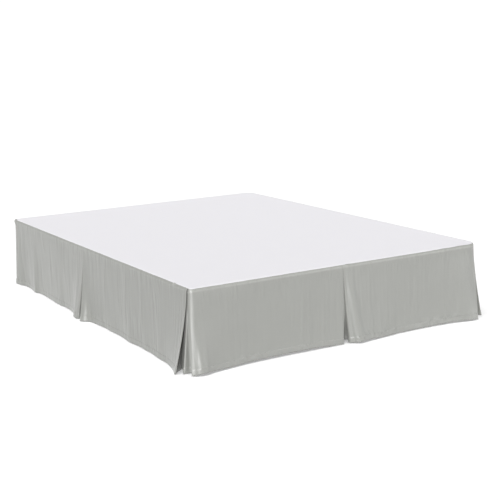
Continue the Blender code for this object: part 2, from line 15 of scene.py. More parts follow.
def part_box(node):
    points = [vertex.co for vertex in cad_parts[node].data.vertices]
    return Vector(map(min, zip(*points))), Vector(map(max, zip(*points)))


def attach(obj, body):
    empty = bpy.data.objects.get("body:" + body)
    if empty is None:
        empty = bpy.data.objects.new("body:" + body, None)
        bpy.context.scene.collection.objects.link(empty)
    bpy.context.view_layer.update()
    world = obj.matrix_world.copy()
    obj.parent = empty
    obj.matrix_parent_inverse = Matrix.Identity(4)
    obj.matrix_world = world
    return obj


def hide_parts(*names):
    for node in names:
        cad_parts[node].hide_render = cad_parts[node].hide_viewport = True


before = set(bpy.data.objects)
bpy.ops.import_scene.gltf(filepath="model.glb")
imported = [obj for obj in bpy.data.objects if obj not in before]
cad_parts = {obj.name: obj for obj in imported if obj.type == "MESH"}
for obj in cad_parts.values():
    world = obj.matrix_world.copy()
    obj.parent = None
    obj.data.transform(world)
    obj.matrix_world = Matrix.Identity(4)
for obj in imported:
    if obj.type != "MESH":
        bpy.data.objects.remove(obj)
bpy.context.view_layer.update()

BODY = "root"

log = logging.getLogger("bed_skirt")

# ---------------------------------------------------------------------------- driving sizes

BED_WIDTH = 1.524  # queen size: 60 in between the side seams of the deck
BED_LENGTH = 2.032  # 80 in
DROP = 0.3556  # 14 in from the top of the deck to the hem
HEM_CLEARANCE = 0.003  # hem above the floor
FOOT_LEFT_RADIUS = 0.003  # of the corners of the deck, seen from above
FOOT_RIGHT_RADIUS = 0.060
HEAD_RADIUS = 0.040
UNDERLAY_RADIUS = 0.012  # of the underlay of the left corner
# Corners of the box spring, counter-clockwise from the one at the head's right.
BOX_RADII = (0.040, 0.040, 0.030, 0.060)
BED_MIDDLE = np.array([0.0111, 0.0111])  # from the middle of the outline of the hems

CLOTH = 0.0012
PIECE_GAP = 0.0003
LAYER_PITCH = 0.0022  # between the middles of two folded layers
INSERT_DEPTH = 0.0060  # of the corner underlay behind the outer layer
SHOULDER_RADIUS = 0.013
SEAM_TURN = math.radians(24)  # how far round the shoulder the seam lies
FOLD_RADIUS = LAYER_PITCH / 2
INNER_ROLL = 0.0015  # radius at the hem of the folds behind a panel
HEAD_WRAP = 0.025  # of a side drop along the head face
PANEL_REACH = 0.25  # how far from a fold its lean spreads in a panel
RETURN_REACH = 0.075  # and in the cloth behind the panel
FLARE_POWER = 1.4  # how late in the drop its swing outwards comes
SWAY_POWER = 1.6  # and its swing along the side
TUCK_POWER = 5.5  # and its tuck in under the box spring

DECK_TOP = DROP + HEM_CLEARANCE
BOX_TOP = DECK_TOP - CLOTH - PIECE_GAP
SHOULDER_LENGTH = SHOULDER_RADIUS * (math.pi / 2 - SEAM_TURN)
SHOULDER_END = DECK_TOP - CLOTH / 2 - SHOULDER_RADIUS

# ------------------------------------------------------------------------- fine cloth sizes

FRONT_COLUMN = 0.0030  # between two columns of an outer panel
HIDDEN_COLUMN = 0.0080  # between two columns behind it
CORNER_COLUMN = 0.0005  # between two columns where a panel goes round a corner
CORNER_START = -0.004  # where the finest columns begin
CORNER_MARGIN = 0.002  # and how far past the corner they run
FOLD_FACETS = 10
SHOULDER_ROWS = 6
SINGLE_LAYER = 0.0009  # thickness of the cloth
HEM_LAYERS = 0.0020  # thickness of the turned hem
HEM_DEPTH = 0.025  # of the turned hem
STITCH_PITCH = 0.0032

# ----------------------------------------------------------------------------- fold tables
#
# A drop is measured along the seam from its first corner, as if the corners of the deck were
# sharp, and outwards from the seam. `lift` raises the hem.


@dataclass(frozen=True)
class Hem:
    """Where the hem of a panel swings to, at one crest, trough or bend."""

    along: float
    out: float
    lift: float = 0.0


@dataclass(frozen=True)
class Edge:
    """The fold at one end of a panel, pressed at the seam and open at the hem."""

    seam: float
    along: float
    out: float
    roll: float = 0.0015
    lift: float = 0.0


@dataclass(frozen=True)
class Pleat:
    """An inverted box pleat: the hems of the cloth behind the fold edges of two panels."""

    near_return: tuple[Hem, ...]
    near_fold: Hem
    underlay: Hem
    far_fold: Hem
    far_return: tuple[Hem, ...]


@dataclass(frozen=True)
class Crease:
    """A soft ridge in a panel, or a hollow where its height is below zero."""

    along: float  # of its upper end
    lean: float  # of its lower end from its upper end
    top: float  # below the seam
    bottom: float
    width: float
    height: float


@dataclass(frozen=True)
class Lump:
    """A small bunch of cloth on the shoulder."""

    along: float
    below: float
    reach: float
    height: float


LEFT_CORNER_RETURN = (
    Hem(0.0530, 0.0530),
    Hem(0.0640, 0.0400),
    Hem(0.0710, 0.0265),
    Hem(0.0800, 0.0175),
    Hem(0.0980, 0.0130),
)
LEFT_CORNER = Edge(seam=0.017, along=0.0400, out=0.0640, roll=0.0025, lift=0.0020)
LEFT_NEAR_PANEL = (
    Hem(0.062, 0.0560),
    Hem(0.095, 0.0440),
    Hem(0.144, 0.0310),
    Hem(0.209, 0.0210),
    Hem(0.257, 0.0200),
    Hem(0.314, 0.0150),
    Hem(0.370, 0.0110),
    Hem(0.422, 0.0100),
    Hem(0.475, 0.0080),
    Hem(0.564, 0.0140),
    Hem(0.625, 0.0100),
    Hem(0.691, 0.0050),
    Hem(0.741, 0.0060),
    Hem(0.792, 0.0080),
    Hem(0.855, 0.0060),
    Hem(0.906, 0.0095),
    Hem(0.952, 0.0125),
    Hem(0.987, 0.0165),
    Hem(1.011, 0.0275),
    Hem(1.025, 0.0460),
)
LEFT_NEAR_EDGE = Edge(seam=1.053, along=1.0370, out=0.0535, roll=0.0030, lift=0.0010)
LEFT_PLEAT = Pleat(
    near_return=(Hem(0.995, 0.0105), Hem(1.011, 0.0180), Hem(1.026, 0.0380)),
    near_fold=Hem(0.978, 0.0080),
    underlay=Hem(1.055, 0.0060),
    far_fold=Hem(1.132, 0.0080),
    far_return=(Hem(1.108, 0.0240), Hem(1.118, 0.0130)),
)
LEFT_FAR_EDGE = Edge(seam=1.057, along=1.0980, out=0.0410, roll=0.0100)
LEFT_FAR_PANEL = (
    Hem(1.139, 0.0470),
    Hem(1.173, 0.0325),
    Hem(1.2175, 0.0182),
    Hem(1.264, 0.0120),
    Hem(1.336, 0.0090),
    Hem(1.390, 0.0150),
    Hem(1.464, 0.0130),
    Hem(1.545, 0.0080),
    Hem(1.627, 0.0050),
    Hem(1.691, 0.0070),
    Hem(1.734, 0.0190),
    Hem(1.790, 0.0110),
    Hem(1.847, 0.0050),
    Hem(1.905, 0.0080),
    Hem(1.953, 0.0225),
    Hem(1.982, 0.0260),
)

FOOT_LEFT_RETURN = (
    Hem(0.0100, 0.0150),
    Hem(0.0300, 0.0125),
    Hem(0.0500, 0.0120),
    Hem(0.0680, 0.0100),
)
FOOT_LEFT_CORNER = Edge(seam=-0.0015, along=0.0011, out=0.0325, roll=0.0025, lift=0.0020)
FOOT_LEFT_PANEL = (
    Hem(0.0018, 0.0354, 0.0030),
    Hem(0.0026, 0.0362, 0.0038),
    Hem(0.010, 0.0408, 0.0052),
    Hem(0.022, 0.0448, 0.0070),
    Hem(0.038, 0.0450, 0.0080),
    Hem(0.060, 0.0390, 0.0072),
    Hem(0.102, 0.0285, 0.0044),
    Hem(0.139, 0.0240, 0.0029),
    Hem(0.181, 0.0188, 0.0034),
    Hem(0.225, 0.0135, 0.0045),
    Hem(0.269, 0.0095, 0.0054),
    Hem(0.347, 0.0070, 0.0064),
    Hem(0.432, 0.0060, 0.0066),
    Hem(0.515, 0.0060, 0.0067),
    Hem(0.597, 0.0075, 0.0060),
    Hem(0.640, 0.0100, 0.0046),
    Hem(0.675, 0.0115, 0.0029),
    Hem(0.706, 0.0128, 0.0012),
    Hem(0.726, 0.0135, 0.0003),
)
FOOT_LEFT_EDGE = Edge(seam=0.7430, along=0.7420, out=0.0120)
FOOT_PLEAT = Pleat(
    near_return=(Hem(0.690, 0.0090), Hem(0.722, 0.0100)),
    near_fold=Hem(0.668, 0.0070),
    underlay=Hem(0.774, -0.0500),
    far_fold=Hem(0.832, 0.0010),
    far_return=(Hem(0.804, -0.0045), Hem(0.820, -0.0015)),
)
FOOT_RIGHT_EDGE = Edge(seam=0.7462, along=0.7895, out=0.0090, roll=0.0145, lift=0.0008)
FOOT_RIGHT_PANEL = (
    Hem(0.799, 0.0302, 0.0028),
    Hem(0.812, 0.0358, 0.0044),
    Hem(0.830, 0.0396, 0.0058),
    Hem(0.852, 0.0400, 0.0060),
    Hem(0.880, 0.0372, 0.0052),
    Hem(0.908, 0.0334, 0.0036),
    Hem(0.950, 0.0285, 0.0012),
    Hem(0.994, 0.0250, 0.0012),
    Hem(1.044, 0.0180, 0.0012),
    Hem(1.120, 0.0165, 0.0012),
    Hem(1.200, 0.0170, 0.0012),
    Hem(1.270, 0.0175, 0.0016),
    Hem(1.325, 0.0215, 0.0024),
    Hem(1.375, 0.0285, 0.0026),
    Hem(1.409, 0.0335, 0.0030),
    Hem(1.440, 0.0400, 0.0024),
    Hem(1.464, 0.0475, 0.0016),
)
FOOT_RIGHT_CORNER = Edge(seam=1.502, along=1.4799, out=0.0543, roll=0.0020, lift=0.0010)
FOOT_RIGHT_RETURN = (
    Hem(1.432, 0.0110),
    Hem(1.452, 0.0170),
    Hem(1.474, 0.0360),
)

RIGHT_CORNER_RETURN = (
    Hem(0.0311, 0.0376),
    Hem(0.0456, 0.0222),
    Hem(0.0640, 0.0140),
    Hem(0.0880, 0.0110),
)
RIGHT_CORNER = Edge(seam=0.030, along=0.0253, out=0.0546, roll=0.0025)
RIGHT_NEAR_PANEL = (
    Hem(0.046, 0.0470),
    Hem(0.090, 0.0290),
    Hem(0.140, 0.0210),
    Hem(0.205, 0.0130),
    Hem(0.268, 0.0170),
    Hem(0.330, 0.0100),
    Hem(0.398, 0.0120),
    Hem(0.460, 0.0070),
    Hem(0.530, 0.0110),
    Hem(0.602, 0.0065),
    Hem(0.668, 0.0100),
    Hem(0.735, 0.0055),
    Hem(0.800, 0.0090),
    Hem(0.862, 0.0070),
    Hem(0.915, 0.0120),
    Hem(0.958, 0.0150),
    Hem(0.990, 0.0240),
)
RIGHT_NEAR_EDGE = Edge(seam=1.014, along=1.0010, out=0.0360, roll=0.0040)
RIGHT_PLEAT = Pleat(
    near_return=(Hem(0.958, 0.0095), Hem(0.980, 0.0145)),
    near_fold=Hem(0.939, 0.0075),
    underlay=Hem(1.016, 0.0060),
    far_fold=Hem(1.093, 0.0075),
    far_return=(Hem(1.062, 0.0200), Hem(1.076, 0.0110)),
)
RIGHT_FAR_EDGE = Edge(seam=1.018, along=1.0480, out=0.0340, roll=0.0060)
RIGHT_FAR_PANEL = (
    Hem(1.085, 0.0370),
    Hem(1.122, 0.0240),
    Hem(1.175, 0.0140),
    Hem(1.240, 0.0090),
    Hem(1.305, 0.0130),
    Hem(1.372, 0.0075),
    Hem(1.440, 0.0110),
    Hem(1.512, 0.0060),
    Hem(1.580, 0.0120),
    Hem(1.650, 0.0080),
    Hem(1.715, 0.0055),
    Hem(1.780, 0.0130),
    Hem(1.842, 0.0090),
    Hem(1.905, 0.0060),
    Hem(1.960, 0.0150),
    Hem(1.982, 0.0200),
)

HEAD_HEM_OUT = 0.030
HEAD_END_OUT = 0.024

LEFT_INSERT = (
    Hem(-0.107, 0.0085),
    Hem(-0.080, 0.0095),
    Hem(-0.055, 0.0120),
    Hem(-0.039, 0.0180),
    Hem(-0.030, 0.0265),
    Hem(-0.0235, 0.0330),
    Hem(-0.0185, 0.0345),
    Hem(-0.0160, 0.0320),
    Hem(-0.0150, 0.0260),
    Hem(-0.0142, 0.0190),
    Hem(-0.0132, 0.0110),
    Hem(-0.0110, 0.0040),
    Hem(-0.0057, 0.0005),
    Hem(0.0046, 0.0005),
    Hem(0.0120, 0.0035),
    Hem(0.0200, 0.0058),
    Hem(0.0350, 0.0062),
    Hem(0.0560, 0.0060),
    Hem(0.086, 0.0055),
)
RIGHT_INSERT = (
    Hem(BED_WIDTH - 0.100, 0.0060),
    Hem(BED_WIDTH - 0.072, 0.0095),
    Hem(BED_WIDTH - 0.048, 0.0200),
    Hem(BED_WIDTH - 0.0299, 0.0335),
    Hem(BED_WIDTH - 0.0153, 0.0350),
    Hem(BED_WIDTH + 0.0011, 0.0275),
    Hem(BED_WIDTH + 0.0146, 0.0180),
    Hem(BED_WIDTH + 0.0285, 0.0110),
    Hem(BED_WIDTH + 0.0533, 0.0078),
    Hem(BED_WIDTH + 0.0853, 0.0070),
)

# Creases are measured like the folds, and down from the seam.
LEFT_CREASES = (
    Crease(0.246, 0.000, 0.010, 0.080, 0.007, -0.0007),
    Crease(0.306, -0.026, 0.025, 0.290, 0.011, 0.0016),
    Crease(0.344, 0.012, 0.008, 0.130, 0.006, 0.0012),
    Crease(0.368, 0.006, 0.015, 0.115, 0.007, -0.0008),
    Crease(0.424, 0.046, 0.060, 0.335, 0.012, 0.0018),
    Crease(0.447, 0.000, 0.290, 0.342, 0.009, -0.0011),
    Crease(0.528, 0.004, 0.220, 0.342, 0.014, -0.0014),
    Crease(0.583, 0.040, -0.010, 0.350, 0.010, 0.0022),
    Crease(0.658, 0.002, 0.285, 0.342, 0.007, -0.0009),
    Crease(0.686, 0.002, 0.060, 0.270, 0.012, 0.0009),
    Crease(0.723, 0.002, 0.280, 0.342, 0.007, -0.0009),
    Crease(0.784, -0.006, 0.070, 0.330, 0.013, -0.0009),
    Crease(0.815, 0.024, 0.005, 0.350, 0.010, 0.0019),
    Crease(0.956, 0.026, 0.020, 0.260, 0.010, 0.0013),
    Crease(1.020, 0.002, 0.000, 0.090, 0.006, 0.0009),
    Crease(1.157, 0.018, 0.010, 0.150, 0.009, 0.0012),
    Crease(1.205, 0.006, 0.060, 0.230, 0.014, 0.0013),
    Crease(1.310, -0.008, 0.100, 0.280, 0.013, 0.0013),
    Crease(1.408, 0.002, 0.110, 0.320, 0.014, -0.0012),
    Crease(1.508, 0.004, 0.130, 0.340, 0.013, 0.0016),
    Crease(1.600, -0.020, 0.010, 0.150, 0.009, 0.0013),
    Crease(1.643, 0.002, 0.140, 0.342, 0.011, -0.0012),
    Crease(1.704, 0.002, 0.150, 0.342, 0.011, 0.0013),
    Crease(1.767, 0.004, 0.020, 0.190, 0.010, 0.0009),
    Crease(1.836, 0.004, 0.010, 0.140, 0.008, 0.0008),
    Crease(1.881, -0.002, 0.060, 0.342, 0.010, -0.0014),
    Crease(1.900, 0.008, 0.000, 0.120, 0.008, 0.0012),
)
FOOT_CREASES = (
    Crease(0.034, 0.001, 0.000, 0.160, 0.005, 0.0007),
    Crease(0.059, 0.000, 0.000, 0.045, 0.004, 0.0008),
    Crease(0.090, 0.002, 0.000, 0.060, 0.005, 0.0009),
    Crease(0.112, 0.004, 0.000, 0.050, 0.005, 0.0006),
    Crease(0.146, 0.001, 0.000, 0.055, 0.006, 0.0008),
    Crease(0.198, 0.003, 0.005, 0.090, 0.006, 0.0009),
    Crease(0.227, -0.002, 0.000, 0.060, 0.006, 0.0008),
    Crease(0.286, 0.003, 0.000, 0.080, 0.008, 0.0010),
    Crease(0.311, -0.003, 0.008, 0.110, 0.008, -0.0007),
    Crease(0.335, -0.004, -0.010, 0.120, 0.005, 0.0012),
    Crease(0.368, 0.004, 0.000, 0.055, 0.005, 0.0008),
    Crease(0.386, -0.002, 0.000, 0.050, 0.005, 0.0009),
    Crease(0.423, 0.003, 0.006, 0.110, 0.007, -0.0007),
    Crease(0.448, 0.002, 0.000, 0.060, 0.006, 0.0008),
    Crease(0.476, 0.003, 0.100, 0.270, 0.008, 0.0008),
    Crease(0.508, 0.000, 0.000, 0.060, 0.005, 0.0008),
    Crease(0.552, -0.004, 0.000, 0.075, 0.006, 0.0008),
    Crease(0.612, 0.003, 0.000, 0.060, 0.006, 0.0007),
    Crease(0.675, 0.003, 0.000, 0.045, 0.005, 0.0008),
    Crease(0.700, 0.024, -0.010, 0.115, 0.005, 0.0013),
    Crease(0.698, 0.010, 0.110, 0.345, 0.013, -0.0012),
    Crease(0.760, 0.028, 0.000, 0.032, 0.004, 0.0014),
    Crease(0.800, 0.004, 0.000, 0.060, 0.006, 0.0007),
    Crease(0.842, 0.002, 0.000, 0.055, 0.005, 0.0008),
    Crease(0.893, 0.004, 0.000, 0.070, 0.006, 0.0008),
    Crease(0.948, 0.000, 0.000, 0.050, 0.005, 0.0008),
    Crease(0.985, 0.002, 0.000, 0.060, 0.006, 0.0010),
    Crease(1.022, -0.003, 0.000, 0.055, 0.005, 0.0007),
    Crease(1.066, 0.001, 0.006, 0.080, 0.007, -0.0006),
    Crease(1.088, 0.000, 0.000, 0.055, 0.005, 0.0008),
    Crease(1.113, 0.000, 0.000, 0.055, 0.006, 0.0011),
    Crease(1.142, 0.002, 0.000, 0.065, 0.006, 0.0011),
    Crease(1.205, 0.001, 0.000, 0.060, 0.006, 0.0007),
    Crease(1.262, -0.002, 0.000, 0.075, 0.007, 0.0008),
    Crease(1.318, 0.000, 0.000, 0.055, 0.006, 0.0006),
    Crease(1.372, 0.002, 0.000, 0.060, 0.006, 0.0008),
    Crease(1.446, 0.052, -0.012, 0.240, 0.006, 0.0018),
    Crease(1.461, 0.022, 0.050, 0.300, 0.008, -0.0010),
    Crease(0.755, 0.129, -0.060, 0.800, 0.021, 0.0085),
    Crease(0.530, 0.006, -0.060, 0.520, 0.045, 0.0030),
    Crease(1.300, 0.010, -0.060, 0.560, 0.050, 0.0040),
    Crease(1.420, 0.020, -0.080, 0.700, 0.050, 0.0075),
)
RIGHT_CREASES = (
    Crease(0.140, 0.014, 0.000, 0.200, 0.009, 0.0012),
    Crease(0.232, -0.010, 0.040, 0.300, 0.011, 0.0014),
    Crease(0.352, 0.016, 0.000, 0.250, 0.010, 0.0015),
    Crease(0.448, 0.006, 0.120, 0.342, 0.012, -0.0012),
    Crease(0.540, 0.020, 0.020, 0.330, 0.011, 0.0017),
    Crease(0.655, -0.012, 0.000, 0.200, 0.009, 0.0012),
    Crease(0.760, 0.014, 0.060, 0.340, 0.012, 0.0015),
    Crease(0.880, 0.018, 0.000, 0.260, 0.010, 0.0014),
    Crease(1.130, 0.016, 0.010, 0.240, 0.010, 0.0014),
    Crease(1.246, -0.008, 0.060, 0.330, 0.012, 0.0013),
    Crease(1.368, 0.010, 0.000, 0.220, 0.009, 0.0012),
    Crease(1.476, 0.012, 0.100, 0.342, 0.012, -0.0013),
    Crease(1.590, -0.014, 0.020, 0.300, 0.011, 0.0015),
    Crease(1.704, 0.008, 0.000, 0.240, 0.010, 0.0012),
    Crease(1.832, 0.012, 0.060, 0.340, 0.012, 0.0014),
    Crease(1.930, -0.006, 0.000, 0.200, 0.009, 0.0011),
)
LEFT_LUMPS = (
    Lump(0.1230, 0.002, 0.0065, 0.0050),
    Lump(2.0050, 0.006, 0.0140, 0.0060),
)

# ------------------------------------------------------------------------------ geometry


def smooth_step(values: np.ndarray) -> np.ndarray:
    """Ramp from 0 to 1 with level ends."""
    clipped = np.clip(values, 0.0, 1.0)
    return clipped * clipped * (3 - 2 * clipped)


def sheet_faces(rows: int, count: int, reverse: bool = False) -> np.ndarray:
    """Four-sided faces of a grid of points.

    Args:
        rows: Rows of the grid.
        count: Points in each row.
        reverse: Whether the faces look the other way.

    Returns:
        The four point numbers of each face.
    """
    index = np.arange(rows * count).reshape(rows, count)
    near, far = (index[:-1, 1:], index[1:, :-1])[:: -1 if reverse else 1]
    return np.stack([index[:-1, :-1], near, index[1:, 1:], far], axis=-1).reshape(-1, 4)


def round_the_corner(over: np.ndarray) -> np.ndarray:
    """Bends the square end of a corner into a quarter of a circle.

    Args:
        over: How far past the straight part of each side, in parts of the corner's radius.

    Returns:
        The same places inside the quarter circle.
    """
    u, v = over[:, 0], over[:, 1]
    return np.stack([u * np.sqrt(1 - v * v / 2), v * np.sqrt(1 - u * u / 2)], axis=1)


@dataclass(frozen=True)
class SmoothCurve:
    """Smooth curve through points that adds no bumps between them."""

    xs: np.ndarray
    ys: np.ndarray

    def slopes(self) -> np.ndarray:
        """Slope of the curve at each of its points.

        Returns:
            One slope for each point.
        """
        steps = np.diff(self.ys) / np.diff(self.xs)
        product = steps[:-1] * steps[1:]
        total = np.where(product > 0, steps[:-1] + steps[1:], 1.0)
        middle = np.where(product > 0, 2 * product / total, 0.0)
        return np.concatenate([steps[:1], middle, steps[-1:]])

    def at(self, places: np.ndarray) -> np.ndarray:
        """Heights of the curve.

        Args:
            places: Where to read it.

        Returns:
            One height for each place.
        """
        slopes = self.slopes()
        i = np.clip(np.searchsorted(self.xs, places, side="right") - 1, 0, len(self.xs) - 2)
        width = self.xs[i + 1] - self.xs[i]
        t = (places - self.xs[i]) / width
        start = (1 + 2 * t) * (1 - t) ** 2 * self.ys[i] + t * (1 - t) ** 2 * width * slopes[i]
        end = t * t * (3 - 2 * t) * self.ys[i + 1] + t * t * (t - 1) * width * slopes[i + 1]
        return start + end


class SmoothNoise:
    """A smooth random field on a plane, the same on each run."""

    CELLS = 256

    def __init__(self, seed: int) -> None:
        """Draws the field's values from a fixed seed."""
        self._values = np.random.default_rng(seed).uniform(-1.0, 1.0, (self.CELLS, self.CELLS))

    def at(self, x: np.ndarray, y: np.ndarray) -> np.ndarray:
        """Field at places given in cells.

        Args:
            x: First coordinates.
            y: Second coordinates, of a shape that broadcasts with x.

        Returns:
            Values from -1 to 1.
        """
        left, low = np.floor(x).astype(int), np.floor(y).astype(int)
        across, up = smooth_step(x - left), smooth_step(y - low)
        left, low = left % self.CELLS, low % self.CELLS
        right, high = (left + 1) % self.CELLS, (low + 1) % self.CELLS
        lower = self._values[left, low] * (1 - across) + self._values[right, low] * across
        upper = self._values[left, high] * (1 - across) + self._values[right, high] * across
        return lower * (1 - up) + upper * up


@dataclass(frozen=True)
class Ripple:
    """One layer of the unevenness that is left to chance, with the size of its cells."""

    along: float
    down: float
    down_shift: float  # in cells, which keeps the layers of one field apart
    along_shift: float = 0.0
    strength: float = 1.0

    def at(self, noise: SmoothNoise, along: np.ndarray, down: np.ndarray) -> np.ndarray:
        """Its value at places on the cloth.

        Args:
            noise: The field that it reads.
            along: Places along the cloth.
            down: Places down it.

        Returns:
            Values up to its strength.
        """
        x = along / self.along + self.along_shift
        return self.strength * noise.at(x, down / self.down + self.down_shift)


@dataclass(frozen=True)
class Side:
    """One side of the deck, from its first corner to its second."""

    start: np.ndarray
    direction: np.ndarray
    outward: np.ndarray
    length: float
    radii: tuple[float, float]  # of its two corners

    def place(self, along: np.ndarray, out: np.ndarray) -> np.ndarray:
        """Plan points beside the seam, round the corners too.

        Args:
            along: Places on the seam line.
            out: Distances from it.

        Returns:
            One plan point a row.
        """
        radius = np.where(along < self.length / 2, *self.radii)
        anchor = np.clip(along, self.radii[0], self.length - self.radii[1])
        arc = np.abs(along - anchor)
        turned = np.minimum(arc / radius, math.pi / 2)
        past = arc - turned * radius
        ahead = np.sign(along - anchor)[:, None] * self.direction
        cos, sin = np.cos(turned)[:, None], np.sin(turned)[:, None]
        radial = self.outward * cos + ahead * sin
        tangent = ahead * cos - self.outward * sin
        centre = self.start + self.direction * anchor[:, None] - self.outward * radius[:, None]
        return centre + radial * (radius + out)[:, None] + tangent * past[:, None]

    @property
    def handedness(self) -> int:
        """+1 where outwards lies to the left of the side's direction, seen from above."""
        cross = self.direction[0] * self.outward[1] - self.direction[1] * self.outward[0]
        return 1 if cross > 0 else -1


HALF_BED = np.array([BED_WIDTH, BED_LENGTH]) / 2
FOOT_LEFT_POINT = BED_MIDDLE - HALF_BED
FOOT_RIGHT_POINT = FOOT_LEFT_POINT + np.array([BED_WIDTH, 0.0])
TO_HEAD = np.array([0.0, 1.0])
TO_RIGHT = np.array([1.0, 0.0])
LEFT_RADII = (FOOT_LEFT_RADIUS, HEAD_RADIUS)
FOOT_RADII = (FOOT_LEFT_RADIUS, FOOT_RIGHT_RADIUS)
RIGHT_RADII = (FOOT_RIGHT_RADIUS, HEAD_RADIUS)
UNDERLAY_RADII = (UNDERLAY_RADIUS, FOOT_RIGHT_RADIUS)
LEFT = Side(FOOT_LEFT_POINT, TO_HEAD, -TO_RIGHT, BED_LENGTH, LEFT_RADII)
FOOT = Side(FOOT_LEFT_POINT, TO_RIGHT, -TO_HEAD, BED_WIDTH, FOOT_RADII)
RIGHT = Side(FOOT_RIGHT_POINT, TO_HEAD, TO_RIGHT, BED_LENGTH, RIGHT_RADII)
UNDERLAY = Side(FOOT_LEFT_POINT, TO_RIGHT, -TO_HEAD, BED_WIDTH, UNDERLAY_RADII)


@dataclass
class Columns:
    """Columns of a cloth strip, from the seam to the hem, as one array for each measure.

    `turn` is -1 or +1 at a fold, and 0 elsewhere. `front` is 1 on an outer panel, away from its
    folds, and 0 behind it.
    """

    seam: np.ndarray
    depth: np.ndarray
    along: np.ndarray
    out: np.ndarray
    lift: np.ndarray
    turn: np.ndarray
    roll: np.ndarray
    front: np.ndarray

    @classmethod
    def joined(cls, parts: Iterable["Columns"]) -> "Columns":
        """Runs and folds, one after another."""
        stacks = zip(*(vars(part).values() for part in parts))
        return cls(*(np.concatenate(stack) for stack in stacks))

    def turned_round(self) -> "Columns":
        """The same columns in falling order."""
        return Columns(*(values[::-1] for values in vars(self).values()))


@dataclass(frozen=True)
class Fold:
    """A fold between two layers: its centre at the seam and at the hem, and its way round."""

    seam: float
    along: float
    out: float
    lift: float
    roll: float
    level: float  # depth of its centre, in layers behind the outer one
    turn: int

    @classmethod
    def front(cls, edge: Edge) -> "Fold":
        """The fold at the end of a panel, between the outer layer and the one behind it."""
        return cls(edge.seam, edge.along, edge.out, edge.lift, edge.roll, 0.5, -1)

    @classmethod
    def behind(cls, hem: Hem) -> "Fold":
        """The fold behind a panel, between its return and the underlay."""
        return cls(hem.along, hem.along, hem.out, 0.0, INNER_ROLL, 1.5, 1)

    def columns(self) -> Columns:
        """Its single column.

        Returns:
            The column.
        """
        depth = self.level * LAYER_PITCH
        values = (self.seam, depth, self.along, self.out, self.lift, self.turn, self.roll, 0.0)
        return Columns(*(np.array([value], float) for value in values))


@dataclass(frozen=True)
class Run:
    """A run of cloth through its hem rows, between the folds at its two ends."""

    rows: tuple[Hem, ...]
    before: Fold | None = None
    after: Fold | None = None
    layer: int = 0

    FADE_START = 0.003  # from a fold, where creases begin
    FADE = 0.009  # and how far on they reach their full height

    def columns(self) -> Columns:
        """Fine columns of the run, in rising order along the side.

        Returns:
            The columns.
        """
        folds = [fold for fold in (self.before, self.after) if fold]
        hems = self._hems()
        xs, outs, lifts = (
            np.array([getattr(hem, name) for hem in hems]) for name in ("along", "out", "lift")
        )
        x = self._places(xs)
        reach = RETURN_REACH if self.layer else PANEL_REACH
        lean, front = np.zeros_like(x), np.full_like(x, 0.0 if self.layer else 1.0)
        for fold in folds:
            away = np.abs(x - fold.along)
            lean += (fold.along - fold.seam) * np.maximum(0.0, 1 - away / reach) ** 2
            front *= smooth_step((away - self.FADE_START) / self.FADE)
        nothing = np.zeros_like(x)
        return Columns(
            seam=x - lean,
            depth=nothing + self.layer * LAYER_PITCH,
            along=x,
            out=SmoothCurve(xs, outs).at(x),
            lift=SmoothCurve(xs, lifts).at(x),
            turn=nothing,
            roll=nothing,
            front=front,
        )

    def _hems(self) -> list[Hem]:
        """Hem rows of the run, with its ends on its own side of the folds.

        Returns:
            The rows in rising order.
        """
        hems = list(self.rows)
        if self.before:
            hems.insert(0, self._end(self.before))
        if self.after:
            hems.append(self._end(self.after))
        return hems

    def _end(self, fold: Fold) -> Hem:
        """Where the run meets a fold, on its own side of it."""
        side = 1 if self.layer < fold.level else -1
        return Hem(fold.along, fold.out + side * fold.roll, fold.lift)

    def _places(self, xs: np.ndarray) -> np.ndarray:
        """Places of the columns, close together on a rounded corner, and none at the folds.

        Args:
            xs: Places of the hem rows.

        Returns:
            The places in rising order.
        """
        places = [xs[:1]]
        for x0, x1 in zip(xs, xs[1:]):
            middle = (x0 + x1) / 2
            if CORNER_START < middle < FOOT_LEFT_RADIUS + CORNER_MARGIN:
                widest = CORNER_COLUMN
            else:
                widest = HIDDEN_COLUMN if self.layer else FRONT_COLUMN
            count = math.ceil((x1 - x0) / widest)
            places.append(np.linspace(x0, x1, count + 1)[1:])
        x = np.concatenate(places)
        first = 1 if self.before else 0
        last = len(x) - 1 if self.after else len(x)
        return x[first:last]


def round_pleat(near: Fold, pleat: Pleat, far: Fold) -> list[Columns]:
    """Columns from the fold of one panel, round the pleat, to the fold of the next.

    Args:
        near: Fold of the first panel.
        pleat: The cloth behind both.
        far: Fold of the second panel.

    Returns:
        The runs and folds in order.
    """
    near_back, far_back = Fold.behind(pleat.near_fold), Fold.behind(pleat.far_fold)
    return [
        near.columns(),
        Run(pleat.near_return, near_back, near, layer=1).columns().turned_round(),
        near_back.columns(),
        Run((pleat.underlay,), near_back, far_back, layer=2).columns(),
        far_back.columns(),
        Run(pleat.far_return, far, far_back, layer=1).columns().turned_round(),
        far.columns(),
    ]


def head_rows(last: Hem) -> tuple[Hem, ...]:
    """Hem rows from the end of a side round the head corner and along the head face.

    Args:
        last: Last hem row of the side.

    Returns:
        That row and the ones that follow.
    """
    corner = BED_LENGTH - HEAD_RADIUS
    quarter = HEAD_RADIUS * math.pi / 2
    return (
        last,
        Hem(corner + quarter * 0.5, HEAD_HEM_OUT),
        Hem(corner + quarter, HEAD_HEM_OUT),
        Hem(corner + quarter + HEAD_WRAP, HEAD_END_OUT),
    )


class Detail(Enum):
    """How crumpled the cloth of a drop is."""

    LIVELY = "side drops, with soft waves all the way down"
    SMOOTH = "foot drop, smooth below its gathered seam"
    PLAIN = "underlays"


